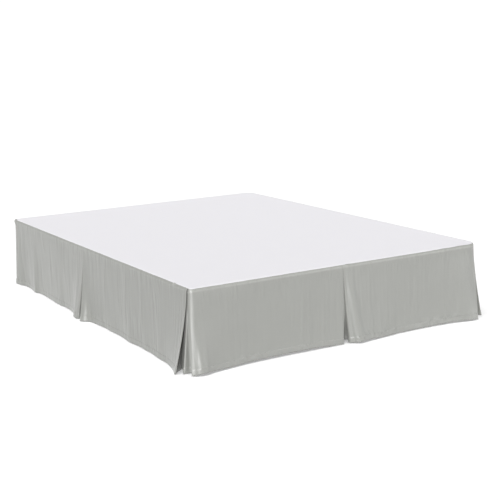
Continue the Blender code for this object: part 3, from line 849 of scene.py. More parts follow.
@dataclass(frozen=True)
class Crumple:
    """Sizes of the fine unevenness of a drop."""

    waves: float  # height of the fine upright waves
    gathers: float  # of the short ridges under the seam
    puckers: float  # of the puckers along the hem
    swell: float  # of the broad swells

    WAVES = (Ripple(0.011, 0.15, 3), Ripple(0.023, 0.2, 9), Ripple(0.046, 0.26, 15, strength=0.8))
    WAVE_PATCHES = Ripple(0.075, 0.14, 130)  # where the waves are strong
    WAVE_LEAST = 0.25  # part of the waves between the patches
    WAVE_GAIN = 1.2
    WAVE_LEVEL = 0.45
    EDGE_WAVES = 0.4  # part of the waves left at the seam and the hem
    FINE_GATHERS = Ripple(0.0065, 0.060, 21)
    FINE_GATHERS_FLOOR = 0.1
    BROAD_GATHERS = Ripple(0.013, 0.07, 27)
    BROAD_GATHERS_FLOOR = 0.2
    BROAD_GATHERS_PART = 0.8
    GATHERS_START = 0.012  # below the seam, where the gathers are full
    GATHERS_END = 0.085  # and where they have gone
    GATHERS_FADE = 0.075
    PUCKERS = ((0.5, Ripple(0.012, 0.020, 33)), (-0.6, Ripple(0.017, 0.03, 51, strength=0.7)))
    PUCKERS_REACH = 0.014  # above and below the hem's stitches
    PUCKER_PATCH = 0.11
    PUCKERS_LEAST = 0.35  # part of the puckers between their patches
    SWELL = Ripple(0.16, 0.16, 70)
    SEAM_FADE = 0.05
    HEM_FADE = 0.04

    def height(self, seed: int, along: np.ndarray, down: np.ndarray, bottom: float) -> np.ndarray:
        """Height of the waves, gathers, puckers and swells.

        Args:
            seed: Seed of the strip.
            along: Places along the cloth.
            down: Places down it.
            bottom: Place of its hem.

        Returns:
            A height for each place.
        """
        noise = SmoothNoise(seed)
        patch = self.WAVE_PATCHES.at(noise, along, down)
        strength = self.WAVE_LEAST + self.WAVE_GAIN * smooth_step(patch + self.WAVE_LEVEL)
        waves = sum(ripple.at(noise, along, down) for ripple in self.WAVES)
        fine = self.FINE_GATHERS.at(noise, along, down) - self.FINE_GATHERS_FLOOR
        broad = self.BROAD_GATHERS.at(noise, along, down) - self.BROAD_GATHERS_FLOOR
        gathers = np.maximum(0.0, fine) + self.BROAD_GATHERS_PART * np.maximum(0.0, broad)
        fading = smooth_step((self.GATHERS_END - down) / self.GATHERS_FADE)
        under_seam = smooth_step(down / self.GATHERS_START) * fading
        puckers = sum(
            ripple.at(noise, along + slant * (bottom - down), down)
            for slant, ripple in self.PUCKERS
        )
        near_hem = np.exp(-(((down - bottom + HEM_DEPTH) / self.PUCKERS_REACH) ** 2))
        patch = noise.at(along / self.PUCKER_PATCH, np.full_like(down, 0.5))
        patches = self.PUCKERS_LEAST + (1 - self.PUCKERS_LEAST) * smooth_step(patch + 0.5)
        swell = self.SWELL.at(noise, along, down)
        inside = smooth_step(down / self.SEAM_FADE) * smooth_step((bottom - down) / self.HEM_FADE)
        return (
            self.waves * waves * strength * (self.EDGE_WAVES + (1 - self.EDGE_WAVES) * inside)
            + self.gathers * gathers * under_seam
            + self.puckers * puckers * near_hem * patches
            + self.swell * swell * inside
        )


CRUMPLES = {
    Detail.LIVELY: Crumple(waves=0.00075, gathers=0.0013, puckers=0.0017, swell=0.0024),
    Detail.SMOOTH: Crumple(waves=0.00055, gathers=0.0024, puckers=0.0022, swell=0.0030),
    Detail.PLAIN: Crumple(waves=0.00015, gathers=0.0002, puckers=0.0003, swell=0.0003),
}


@dataclass
class Strip:
    """A hanging strip of cloth on one side of the deck, with its turned and stitched hem."""

    name: str
    side: Side
    columns: Columns
    detail: Detail
    seed: int
    creases: tuple[Crease, ...] = ()
    lumps: tuple[Lump, ...] = ()
    down: np.ndarray = field(init=False)
    points: np.ndarray = field(init=False)
    normals: np.ndarray = field(init=False)
    cloth_length: np.ndarray = field(init=False)

    DROP_STEP = 0.0090  # between two rows of the drop
    STITCH_STEP = 0.0011  # between two rows beside the hem's stitches
    STITCH_BAND = 0.006
    SEAM_DIP = 0.0001
    SEAM_WIDTH = 0.0016
    STITCH_DIP = 0.0003
    STITCH_WIDTH = 0.0014
    HEM_PROUD = 0.0003
    HEM_STEP = 0.002  # over which the cloth thickens into its hem
    HEM_ROWS = 6  # below the stitches
    CREASE_START = 0.3  # part of a crease's length over which it rises
    CREASE_END = 0.45  # and over which it fades

    def __post_init__(self) -> None:
        """Lays the cloth and presses its creases."""
        self._lay()
        self._press()

    @property
    def hem_row(self) -> int:
        """Row of the hem's stitches."""
        return int(np.argmin(np.abs(self.down - (self.down[-1] - HEM_DEPTH))))

    def _parts(self) -> np.ndarray:
        """Rows of the drop, as parts of its height, closest beside the hem's stitches.

        Returns:
            Parts from 0 to 1, without 0 itself.
        """
        height = SHOULDER_END - HEM_CLEARANCE
        band = height - HEM_DEPTH - self.STITCH_BAND / 2
        above = np.linspace(0, band, math.ceil(band / self.DROP_STEP) + 1)[1:]
        beside = band + np.arange(self.STITCH_STEP, self.STITCH_BAND, self.STITCH_STEP)
        below = np.linspace(beside[-1], height, self.HEM_ROWS)[1:]
        return np.concatenate([above, beside, below]) / height

    def _lay(self) -> None:
        """Places the grid of the cloth, without its creases."""
        angles = np.linspace(SEAM_TURN, math.pi / 2, SHOULDER_ROWS + 1)
        parts = self._parts()
        rows = [self._shoulder_row(angle) for angle in angles]
        rows += [self._hanging_row(part) for part in parts]
        self.points = np.array(rows)
        height = SHOULDER_END - HEM_CLEARANCE
        shoulder = (angles - SEAM_TURN) * SHOULDER_RADIUS
        self.down = np.concatenate([shoulder, SHOULDER_LENGTH + parts * height])
        middle = self.points[len(rows) // 2, :, :2]
        steps = np.linalg.norm(np.diff(middle, axis=0), axis=1)
        self.cloth_length = np.concatenate([[0.0], np.cumsum(steps)])

    def _spread(self, values: np.ndarray) -> np.ndarray:
        """Column values repeated over the facets of each fold."""
        return np.repeat(values, np.where(self.columns.turn != 0, FOLD_FACETS + 1, 1))

    def _rounded(self, points: np.ndarray, radii: np.ndarray, hand: int) -> np.ndarray:
        """One row of plan points, with each fold rounded.

        Args:
            points: A point for each column, at a fold its centre.
            radii: A radius for each column.
            hand: Handedness of the plane that the points lie in.

        Returns:
            The row's points.
        """
        turns = self.columns.turn
        row = np.repeat(points, np.where(turns != 0, FOLD_FACETS + 1, 1), axis=0)
        shift = 0
        for i in np.flatnonzero(turns):
            turn = turns[i] * hand
            come = points[i - 1] - points[i - 2]
            leave = points[i + 2] - points[i + 1]
            cross = come[0] * leave[1] - come[1] * leave[0]
            angle = (math.atan2(cross, come @ leave) * turn) % (2 * math.pi)
            start = math.atan2(-come[0] * turn, come[1] * turn)
            swing = start + turn * angle * np.linspace(0, 1, FOLD_FACETS + 1)
            spokes = np.stack([np.cos(swing), np.sin(swing)], axis=1)
            first = i + shift
            row[first : first + FOLD_FACETS + 1] = points[i] + spokes * radii[i]
            shift += FOLD_FACETS
        return row

    def _shoulder_row(self, angle: float) -> np.ndarray:
        """One row round the shoulder, turned from flat on the deck to hanging.

        Args:
            angle: How far round it lies, from flat.

        Returns:
            The row's points.
        """
        flat = np.stack([self.columns.seam, -self.columns.depth], axis=1)
        row = self._rounded(flat, np.full(len(flat), FOLD_RADIUS), 1)
        radius = SHOULDER_RADIUS + row[:, 1]
        plan = self.side.place(row[:, 0], PIECE_GAP + radius * math.sin(angle))
        return np.column_stack([plan, SHOULDER_END + radius * math.cos(angle)])

    def _hanging_row(self, part: float) -> np.ndarray:
        """One row of the drop.

        Args:
            part: How much of the way from the shoulder to the hem it is.

        Returns:
            The row's points.
        """
        c = self.columns
        swing = np.where(c.out < 0, part**TUCK_POWER, part**FLARE_POWER)
        top_out = PIECE_GAP + SHOULDER_RADIUS - c.depth
        along = c.seam + (c.along - c.seam) * part**SWAY_POWER
        plan = self.side.place(along, top_out + (c.out - top_out) * swing)
        radii = FOLD_RADIUS + (c.roll - FOLD_RADIUS) * swing
        row = self._rounded(plan, radii, self.side.handedness)
        hem = HEM_CLEARANCE + self._spread(c.lift)
        return np.column_stack([row, SHOULDER_END + (hem - SHOULDER_END) * part])

    def _press(self) -> None:
        """Moves the grid along its normals by the creases, gathers, puckers and hem."""
        self.normals = self._grid_normals()
        down = self.down[:, None]
        part = np.clip((down - SHOULDER_LENGTH) / (self.down[-1] - SHOULDER_LENGTH), 0, 1)
        seam, hem = self._spread(self.columns.seam), self._spread(self.columns.along)
        along = seam + (hem - seam) * part**SWAY_POWER
        front = self._spread(self.columns.front)
        fine = CRUMPLES[self.detail].height(self.seed, along, down, self.down[-1])
        height = (self._crease_height(along, down) + fine) * front
        height = height + self._seam_and_hem_height(down)
        for lump in self.lumps:
            away = ((along - lump.along) ** 2 + (down - lump.below) ** 2) / lump.reach**2
            height += lump.height * np.exp(-away) * (front > 0)
        self.points = self.points + self.normals * height[:, :, None]
        self.normals = self._grid_normals()

    def _grid_normals(self) -> np.ndarray:
        """Outward normal at each point of the grid.

        Returns:
            A unit vector for each point.
        """
        across = np.gradient(self.points, axis=1)
        downward = np.gradient(self.points, axis=0)
        normals = np.cross(across, downward) * self.side.handedness
        return normals / np.maximum(np.linalg.norm(normals, axis=2, keepdims=True), 1e-12)

    def _crease_height(self, along: np.ndarray, down: np.ndarray) -> np.ndarray:
        """Height of the listed creases.

        Args:
            along: Places along the cloth.
            down: Places down it.

        Returns:
            A height for each place.
        """
        height = np.zeros(np.broadcast_shapes(along.shape, down.shape))
        for crease in self.creases:
            t = (down - crease.top) / (crease.bottom - crease.top)
            rise, fade = smooth_step(t / self.CREASE_START), smooth_step((1 - t) / self.CREASE_END)
            away = (along - crease.along - crease.lean * np.clip(t, 0, 1)) / crease.width
            height += crease.height * (rise * fade) * np.exp(-(away**2))
        return height

    def _seam_and_hem_height(self, down: np.ndarray) -> np.ndarray:
        """Height of the dip at the seam, the groove of the stitches and the turned hem.

        Args:
            down: Places down the cloth.

        Returns:
            A height for each place.
        """
        stitches = self.down[-1] - HEM_DEPTH
        seam = -self.SEAM_DIP * np.exp(-((down / self.SEAM_WIDTH) ** 2))
        groove = -self.STITCH_DIP * np.exp(-(((down - stitches) / self.STITCH_WIDTH) ** 2))
        proud = self.HEM_PROUD * smooth_step((down - stitches) / self.HEM_STEP)
        return seam + groove + proud

    def build(self) -> bpy.types.Object:
        """Makes the strip's closed mesh, thicker in its hem.

        Returns:
            The strip, smooth and without its finish.
        """
        rows, count, _ = self.points.shape
        grid = Grid(self.name, self.points.reshape(-1, 3), sheet_faces(rows, count))
        u = np.broadcast_to(self.cloth_length, (rows, count)).reshape(-1)
        v = np.broadcast_to(-self.down[:, None], (rows, count)).reshape(-1)
        piece = grid.build(np.stack([u, v], axis=1))
        thin = SINGLE_LAYER / HEM_LAYERS
        in_hem = smooth_step((self.down - self.down[self.hem_row]) / self.HEM_STEP + 0.5)
        weights = np.repeat(thin + (1 - thin) * in_hem, count)
        thicken(piece, HEM_LAYERS, weights)
        return piece

    def stitch_path(self) -> np.ndarray:
        """Points of the thread line, just proud of the cloth."""
        row = self.hem_row
        return self.points[row] + self.normals[row] * (SINGLE_LAYER + HEM_LAYERS) / 4

    @property
    def flat_size(self) -> tuple[float, float]:
        """Width and length of the cloth as cut, with its seam and hem allowances."""
        return float(self.cloth_length[-1]), float(self.down[-1]) + 2 * HEM_DEPTH


@dataclass(frozen=True)
class Grid:
    """A surface mesh with one UV place for each vertex, in metres of cloth."""

    name: str
    points: np.ndarray
    faces: np.ndarray

    def build(self, uv: np.ndarray) -> bpy.types.Object:
        """Makes the object.

        Args:
            uv: A place on the cloth for each vertex.

        Returns:
            The object, smooth and in the scene.
        """
        mesh = bpy.data.meshes.new(self.name)
        mesh.from_pydata(self.points.tolist(), [], self.faces.tolist())
        layer = mesh.uv_layers.new(name="cloth")
        corners = np.empty(len(mesh.loops), dtype=np.int32)
        mesh.loops.foreach_get("vertex_index", corners)
        layer.data.foreach_set("uv", uv[corners].astype(np.float32).reshape(-1))
        mesh.shade_smooth()
        return linked(self.name, mesh)


def linked(name: str, mesh: bpy.types.Mesh) -> bpy.types.Object:
    """Puts a mesh in the scene as an object.

    Args:
        name: Name of the object.
        mesh: Its mesh.

    Returns:
        The object.
    """
    piece = bpy.data.objects.new(name, mesh)
    bpy.context.collection.objects.link(piece)
    return piece


def applied(piece: bpy.types.Object) -> None:
    """Turns an object's evaluated shape into its own plain mesh.

    Args:
        piece: The object.
    """
    graph = bpy.context.evaluated_depsgraph_get()
    mesh = bpy.data.meshes.new_from_object(piece.evaluated_get(graph))
    mesh.name = piece.name
    piece.modifiers.clear()
    piece.data = mesh


def thicken(piece: bpy.types.Object, thickness: float, weights: np.ndarray | None = None) -> None:
    """Gives a surface its thickness, half on each side, and applies it.

    Args:
        piece: The surface.
        thickness: Full thickness.
        weights: The part of it that each vertex gets.
    """
    solid = piece.modifiers.new("thickness", "SOLIDIFY")
    solid.thickness = thickness
    solid.offset = 0.0
    if weights is not None:
        group = piece.vertex_groups.new(name="thickness")
        for weight in np.unique(weights):
            members = np.flatnonzero(weights == weight)
            group.add(members.tolist(), float(weight), "REPLACE")
        solid.vertex_group = group.name
    applied(piece)
    piece.vertex_groups.clear()


# -------------------------------------------------------------------------------- shader maths


def add_node(
    tree: bpy.types.NodeTree,
    kind: str,
    settings: dict[str, object] | None = None,
    inputs: dict[int | str, object] | None = None,
) -> bpy.types.Node:
    """Adds one node.

    Args:
        tree: The tree that it goes in.
        kind: Type of the node.
        settings: Properties of the node, set first.
        inputs: Values or output sockets, by the name or number of their own socket.

    Returns:
        The node.
    """
    added = tree.nodes.new(kind)
    for name, value in (settings or {}).items():
        setattr(added, name, value)
    for key, value in (inputs or {}).items():
        if isinstance(value, bpy.types.NodeSocket):
            tree.links.new(value, added.inputs[key])
        else:
            added.inputs[key].default_value = value
    return added


@dataclass(frozen=True)
class Wire:
    """An output socket that can be used in sums; each operator adds its Math node."""

    tree: bpy.types.NodeTree
    socket: bpy.types.NodeSocket

    def _math(self, operation: str, *operands: "Wire | float") -> "Wire":
        """Adds a Math node."""
        return node(self.tree, "Math", {"operation": operation}, dict(enumerate(operands)))[0]

    def __add__(self, other: "Wire | float") -> "Wire":
        """Sum."""
        return self._math("ADD", self, other)

    def __sub__(self, other: "Wire | float") -> "Wire":
        """Difference."""
        return self._math("SUBTRACT", self, other)

    def __rsub__(self, other: float) -> "Wire":
        """Difference from a number."""
        return self._math("SUBTRACT", other, self)

    def __mul__(self, other: "Wire | float") -> "Wire":
        """Product."""
        return self._math("MULTIPLY", self, other)

    def __truediv__(self, other: "Wire | float") -> "Wire":
        """Quotient."""
        return self._math("DIVIDE", self, other)

    def __pow__(self, other: float) -> "Wire":
        """Power."""
        return self._math("POWER", self, other)

    __radd__ = __add__
    __rmul__ = __mul__

    def sine(self) -> "Wire":
        """Sine of an angle in radians."""
        return self._math("SINE", self)

    def size(self) -> "Wire":
        """Value without its sign."""
        return self._math("ABSOLUTE", self)

    def above(self, level: float) -> "Wire":
        """1 where the value is above a level, and 0 elsewhere."""
        return self._math("GREATER_THAN", self, level)

    def held(self) -> "Wire":
        """Value kept between 0 and 1."""
        return self._math("MINIMUM", self._math("MAXIMUM", self, 0.0), 1.0)


def node(
    tree: bpy.types.NodeTree,
    kind: str,
    settings: dict[str, object] | None = None,
    inputs: dict[int | str, object] | None = None,
) -> list[Wire]:
    """Adds one shader node.

    Args:
        tree: The material's nodes.
        kind: Type of the node, without its ShaderNode prefix.
        settings: Properties of the node, set first.
        inputs: Values or wires, by the name or number of their socket.

    Returns:
        A wire for each of the node's outputs.
    """
    given = (inputs or {}).items()
    plain = {key: value.socket if isinstance(value, Wire) else value for key, value in given}
    added = add_node(tree, f"ShaderNode{kind}", settings, plain)
    return [Wire(tree, socket) for socket in added.outputs]


Colour = tuple[float, float, float]


@dataclass
class Surface:
    """A material being made, with the node work that every finish shares."""

    name: str
    material: bpy.types.Material = field(init=False)

    def __post_init__(self) -> None:
        """Makes an empty material."""
        self.material = bpy.data.materials.new(self.name)
        self.material.use_nodes = True
        self.material.node_tree.nodes.clear()

    @property
    def tree(self) -> bpy.types.NodeTree:
        """The material's nodes."""
        return self.material.node_tree

    def cloth_place(self) -> Wire:
        """Place on the cloth, in metres along and down it."""
        return node(self.tree, "UVMap", {"uv_map": "cloth"})[0]

    def object_place(self) -> Wire:
        """Place in the object, in metres."""
        return node(self.tree, "TexCoord")[3]

    def scaled(self, place: Wire, scale: Colour) -> Wire:
        """A place with each of its measures multiplied."""
        return node(self.tree, "VectorMath", {"operation": "MULTIPLY"}, {0: place, 1: scale})[0]

    def split(self, place: Wire) -> list[Wire]:
        """The three measures of a place."""
        return node(self.tree, "SeparateXYZ", None, {"Vector": place})

    def noise(self, place: Wire, scale: float, detail: float = 2.0, rough: float = 0.5) -> Wire:
        """Noise from 0 to 1 around one half."""
        inputs = {"Vector": place, "Scale": scale, "Detail": detail, "Roughness": rough}
        return node(self.tree, "TexNoise", None, inputs)[0]

    def between(self, amount: Wire, low: Colour, high: Colour) -> Wire:
        """A colour between two, by an amount from 0 to 1."""
        sockets = {0: amount, 6: (*low, 1.0), 7: (*high, 1.0)}
        return node(self.tree, "Mix", {"data_type": "RGBA"}, sockets)[2]

    def bump(self, height: Wire, distance: float, strength: float = 1.0) -> Wire:
        """A normal from a height between 0 and 1."""
        inputs = {"Height": height, "Distance": distance, "Strength": strength}
        return node(self.tree, "Bump", None, inputs)[0]

    def finish(self, inputs: dict[str, object]) -> bpy.types.Material:
        """Ends the material in its shader.

        Args:
            inputs: Values or wires for the shader's sockets, by name.

        Returns:
            The material.
        """
        shader = node(self.tree, "BsdfPrincipled", None, inputs)[0]
        node(self.tree, "OutputMaterial", None, {"Surface": shader})
        return self.material


def tint(colour: Colour, amount: float) -> Colour:
    """A colour made lighter or darker by a part of itself."""
    red, green, blue = (value * (1 + amount) for value in colour)
    return red, green, blue


def weave(surface: Surface, place: Wire, pitch: float) -> Wire:
    """Height of a plain weave, one thread over and the next one under.

    Args:
        surface: The material.
        place: Place on the cloth, in metres.
        pitch: Distance between two threads.

    Returns:
        A height from 0 to 1.
    """
    across, down, _ = surface.split(surface.scaled(place, (math.pi / pitch,) * 3))
    warp, weft = across.sine(), down.sine()
    over = (warp * weft).above(0.0)
    return over * warp.size() + (1 - over) * weft.size()


@dataclass(frozen=True)
class WovenCloth:
    """A woven cloth with a soft sheen, slubs in its threads, faint mottling and, if given, a
    painted highlight band under its seam.
    """

    PAINTED_HIGHLIGHT_REACH = 0.018  # of the painted highlight band under the seam
    WEFT_CELLS = (12.0, 620.0, 1.0)  # of the shade of single threads, for each metre
    WARP_CELLS = (540.0, 9.0, 1.0)
    PATCH_CELLS = 11.0
    SLUB_GAIN = 2.2
    MOTTLE_GAIN = 2.4
    WEAVE_PART = 0.7  # of the height of the surface
    SLUB_PART = 0.3
    ROUGHNESS_SPREAD = 0.10
    SHEEN_ROUGHNESS = 0.45
    INDEX = 1.5

    name: str
    colour: Colour
    pitch: float
    roughness: float
    depth: float  # of the weave
    slub: float  # how much lighter or darker a thread may be
    mottle: float
    sheen: float = 0.15
    gloss: float = 0.5  # of its specular reflection
    painted_seam_highlight: float = 0.0  # how much paler its colour is painted at its seam, where v is 0: a painted highlight of the rounded shoulder

    def material(self) -> bpy.types.Material:
        """Makes the material.

        Returns:
            The material.
        """
        surface = Surface(self.name)
        place = surface.cloth_place()
        wefts = surface.noise(surface.scaled(place, self.WEFT_CELLS), 1.0, 3.0)
        warps = surface.noise(surface.scaled(place, self.WARP_CELLS), 1.0, 3.0)
        patches = surface.noise(place, self.PATCH_CELLS, 3.0, 0.6)
        slubs = (wefts + warps - 1.0) * (self.SLUB_GAIN * self.slub)
        shade = slubs + (patches - 0.5) * (self.MOTTLE_GAIN * self.mottle)
        spread = self.slub + self.mottle
        # Painted highlight: the colour turns paler towards the seam, standing in for light on the
        # rounded shoulder.
        painted_highlight_band = (surface.split(place)[1] / self.PAINTED_HIGHLIGHT_REACH + 1.0).held()
        amount = (shade / (2 * spread) + 0.5).held() * (2 * spread) + painted_highlight_band * self.painted_seam_highlight
        colours = tint(self.colour, -spread), tint(self.colour, spread + self.painted_seam_highlight)
        colour = surface.between(amount / (2 * spread + self.painted_seam_highlight), *colours)
        height = weave(surface, place, self.pitch) * self.WEAVE_PART + wefts * self.SLUB_PART
        return surface.finish(
            {
                "Base Color": colour,
                "Roughness": (patches - 0.5) * self.ROUGHNESS_SPREAD + self.roughness,
                "Normal": surface.bump(height, self.depth),
                "Sheen Weight": self.sheen,
                "Sheen Roughness": self.SHEEN_ROUGHNESS,
                "Specular IOR Level": self.gloss,
                "IOR": self.INDEX,
            }
        )


@dataclass(frozen=True)
class Thread:
    """Sewing thread."""

    SHADE = (-0.12, 0.06)  # of its plies, from its colour
    ROUGHNESS = 0.6
    SHEEN = 0.2

    name: str
    colour: Colour
    twist: float = 0.0006

    def material(self) -> bpy.types.Material:
        """Makes the material.

        Returns:
            The material.
        """
        surface = Surface(self.name)
        x, y, z = surface.split(surface.object_place())
        ply = ((x + y + z) * (2 * math.pi / self.twist)).sine() * 0.5 + 0.5
        colour = surface.between(ply, *(tint(self.colour, shade) for shade in self.SHADE))
        inputs = {"Base Color": colour, "Roughness": self.ROUGHNESS, "Sheen Weight": self.SHEEN}
        return surface.finish(inputs)


@dataclass(frozen=True)
class Ticking:
    """The woven cover of a box spring, with a fine stripe in its weave."""

    STRIPE_EDGE = 3.0  # how sharply a stripe begins
    STRIPE_PART = 0.55  # of the shade
    PATCH_PART = 0.5
    PATCH_CELLS = 7.0  # for each metre
    SHADE = (-0.06, 0.05)  # from its colour
    WEAVE_HEIGHT = 0.6
    STRIPE_HEIGHT = 0.4
    ROUGHNESS = 0.85
    STRIPE_GLOSS = 0.12  # how much less rough a stripe is
    DEPTH = 0.0003
    SHEEN = 0.15

    name: str
    colour: Colour
    stripe: float = 0.012
    pitch: float = 0.0009

    def material(self) -> bpy.types.Material:
        """Makes the material.

        Returns:
            The material.
        """
        surface = Surface(self.name)
        place = surface.cloth_place()
        across, _, _ = surface.split(place)
        stripe = ((across * (2 * math.pi / self.stripe)).sine() * self.STRIPE_EDGE + 0.5).held()
        patches = surface.noise(place, self.PATCH_CELLS, 4.0, 0.6)
        amount = (stripe * self.STRIPE_PART + patches * self.PATCH_PART).held()
        colour = surface.between(amount, *(tint(self.colour, shade) for shade in self.SHADE))
        woven = weave(surface, place, self.pitch)
        height = woven * self.WEAVE_HEIGHT + stripe * self.STRIPE_HEIGHT
        return surface.finish(
            {
                "Base Color": colour,
                "Roughness": self.ROUGHNESS - stripe * self.STRIPE_GLOSS,
                "Normal": surface.bump(height, self.DEPTH),
                "Sheen Weight": self.SHEEN,
            }
        )


@dataclass(frozen=True)
class StainedWood:
    """Dark stained wood with its grain along the leg."""

    BEND_CELLS = (6.0, 6.0, 2.0)  # of the wander of the rings, for each metre
    BEND_SCALE = 3.0
    BEND = 14.0  # radians
    HEART = (0.8, 0.6)  # the way across the rings
    RINGS = 900.0  # radians for each metre across
    RISE = 30.0  # and up the leg
    PORE_CELLS = (900.0, 900.0, 28.0)
    RING_PART = 0.55  # of the shade
    PORE_PART = 0.6
    SHADE_SHIFT = 0.1
    ROUGHNESS = 0.34
    PORE_ROUGHNESS = 0.16
    DEPTH = 0.00015
    COAT = 0.25
    COAT_ROUGHNESS = 0.25

    name: str
    dark: Colour
    light: Colour

    def material(self) -> bpy.types.Material:
        """Makes the material.

        Returns:
            The material.
        """
        surface = Surface(self.name)
        place = surface.object_place()
        bent = surface.noise(surface.scaled(place, self.BEND_CELLS), self.BEND_SCALE, 2.0)
        x, y, z = surface.split(place)
        across = (x * self.HEART[0] + y * self.HEART[1]) * self.RINGS
        rings = (across + z * self.RISE + bent * self.BEND).sine() * 0.5 + 0.5
        pores = surface.noise(surface.scaled(place, self.PORE_CELLS), 1.0, 3.0, 0.6)
        amount = (rings * self.RING_PART + pores * self.PORE_PART - self.SHADE_SHIFT).held()
        colour = surface.between(amount, self.dark, self.light)
        return surface.finish(
            {
                "Base Color": colour,
                "Roughness": self.ROUGHNESS + pores * self.PORE_ROUGHNESS,
                "Normal": surface.bump(pores, self.DEPTH),
                "Coat Weight": self.COAT,
                "Coat Roughness": self.COAT_ROUGHNESS,
            }
        )


@dataclass(frozen=True)
class Plastic:
    """Moulded plastic with a fine grain."""

    GRAIN_CELLS = 900.0  # for each metre
    SCUFF_CELLS = 60.0
    SHADE = (-0.10, 0.12)  # from its colour
    ROUGHNESS = 0.42
    SCUFF_ROUGHNESS = 0.2
    DEPTH = 0.00008

    name: str
    colour: Colour

    def material(self) -> bpy.types.Material:
        """Makes the material.

        Returns:
            The material.
        """
        surface = Surface(self.name)
        grain = surface.noise(surface.object_place(), self.GRAIN_CELLS, 2.0)
        scuffs = surface.noise(surface.object_place(), self.SCUFF_CELLS, 3.0)
        colour = surface.between(scuffs, *(tint(self.colour, shade) for shade in self.SHADE))
        return surface.finish(
            {
                "Base Color": colour,
                "Roughness": self.ROUGHNESS + scuffs * self.SCUFF_ROUGHNESS,
                "Normal": surface.bump(grain, self.DEPTH),
            }
        )


GREY_CLOTH = WovenCloth(
    name="grey cloth",
    colour=(0.184, 0.187, 0.174),
    pitch=0.0008,
    roughness=0.38,
    depth=0.00003,
    slub=0.030,
    mottle=0.014,
    gloss=1.0,
    # painted highlight: colour made paler under the seam, standing in for light on the shoulder
    painted_seam_highlight=0.62,
)
WHITE_CLOTH = WovenCloth(
    "white cloth", (0.800, 0.790, 0.820), 0.0006, 0.75, 0.00010, 0.010, 0.006, sheen=0.05
)
DUST_COVER = WovenCloth(
    "dust cover", (0.045, 0.045, 0.050), 0.0010, 0.85, 0.00015, 0.10, 0.08, sheen=0.05
)
GREY_THREAD = Thread("grey thread", (0.330, 0.336, 0.315))
TICKING = Ticking("ticking", (0.70, 0.69, 0.66))
PIPING = WovenCloth("piping", (0.66, 0.65, 0.62), 0.0008, 0.80, 0.00018, 0.020, 0.015)
LEG_WOOD = StainedWood("leg wood", (0.030, 0.017, 0.011), (0.085, 0.048, 0.030))
GLIDE = Plastic("glide", (0.040, 0.040, 0.042))


def dress(piece: bpy.types.Object, material: bpy.types.Material) -> None:
    """Gives a whole piece one material."""
    piece.data.materials.clear()
    piece.data.materials.append(material)


# ---------------------------------------------------------------------------------- stitches


@dataclass(frozen=True)
class StitchLine:
    """A row of lock stitches along a path, made by Geometry Nodes."""

    pitch: float = STITCH_PITCH
    stitch: float = 0.0024
    thickness: float = 0.0005

    BEAD = {"Segments": 6, "Rings": 4, "Radius": 0.5}  # of unit size, scaled to one stitch

    def sew(
        self, name: str, paths: Sequence[np.ndarray], thread: bpy.types.Material
    ) -> bpy.types.Object:
        """Makes the stitches of a piece.

        Args:
            name: Name of the piece.
            paths: The points that each row follows.
            thread: Material of the thread.

        Returns:
            The stitches as a plain mesh.
        """
        points = [tuple(point) for path in paths for point in path]
        edges, first = [], 0
        for path in paths:
            edges += [(first + i, first + i + 1) for i in range(len(path) - 1)]
            first += len(path)
        mesh = bpy.data.meshes.new(name)
        mesh.from_pydata(points, edges, [])
        piece = linked(name, mesh)
        tree = self._tree()
        modifier = piece.modifiers.new("stitches", "NODES")
        modifier.node_group = tree
        values = {
            "Pitch": self.pitch,
            "Stitch Length": self.stitch,
            "Thread Thickness": self.thickness,
            "Thread": thread,
        }
        for item in tree.interface.items_tree:
            if item.name in values:
                modifier[item.identifier] = values[item.name]
        applied(piece)
        return piece

    def _tree(self) -> bpy.types.NodeTree:
        """Builds the tree that sews along the edges of a mesh.

        Returns:
            The tree, with named inputs for its sizes and its thread.
        """
        tree = bpy.data.node_groups.new("lock stitches", "GeometryNodeTree")
        sockets = (
            ("Geometry", "INPUT", "NodeSocketGeometry"),
            ("Pitch", "INPUT", "NodeSocketFloat"),
            ("Stitch Length", "INPUT", "NodeSocketFloat"),
            ("Thread Thickness", "INPUT", "NodeSocketFloat"),
            ("Thread", "INPUT", "NodeSocketMaterial"),
            ("Geometry", "OUTPUT", "NodeSocketGeometry"),
        )
        for name, way, kind in sockets:
            tree.interface.new_socket(name, in_out=way, socket_type=kind)

        def add(
            kind: str, result: str | None, settings: dict[str, object], **inputs: object
        ) -> bpy.types.NodeSocket | None:
            """Adds one node and gives the output of a name."""
            added = add_node(tree, kind, settings, inputs)
            return added.outputs[result] if result else None

        given = add_node(tree, "NodeGroupInput").outputs
        thread, length = given["Thread Thickness"], given["Stitch Length"]
        curve = add("GeometryNodeMeshToCurve", "Curve", {}, Mesh=given["Geometry"])
        pitch = given["Pitch"]
        by_length = {"mode": "LENGTH"}
        even = add("GeometryNodeResampleCurve", "Curve", by_length, Curve=curve, Length=pitch)
        bead = add("GeometryNodeMeshUVSphere", "Mesh", {}, **self.BEAD)
        size = add("ShaderNodeCombineXYZ", "Vector", {}, X=thread, Y=thread, Z=length)
        tangent = add("GeometryNodeInputTangent", "Tangent", {})
        upright = {"axis": "Z"}
        turn = add("FunctionNodeAlignRotationToVector", "Rotation", upright, Vector=tangent)
        beads = add(
            "GeometryNodeInstanceOnPoints",
            "Instances",
            {},
            Points=even,
            Instance=bead,
            Rotation=turn,
            Scale=size,
        )
        real = add("GeometryNodeRealizeInstances", "Geometry", {}, Geometry=beads)
        dressed = add(
            "GeometryNodeSetMaterial", "Geometry", {}, Geometry=real, Material=given["Thread"]
        )
        add("NodeGroupOutput", None, {}, Geometry=dressed)
        return tree


# ------------------------------------------------------------------------------------- skirt


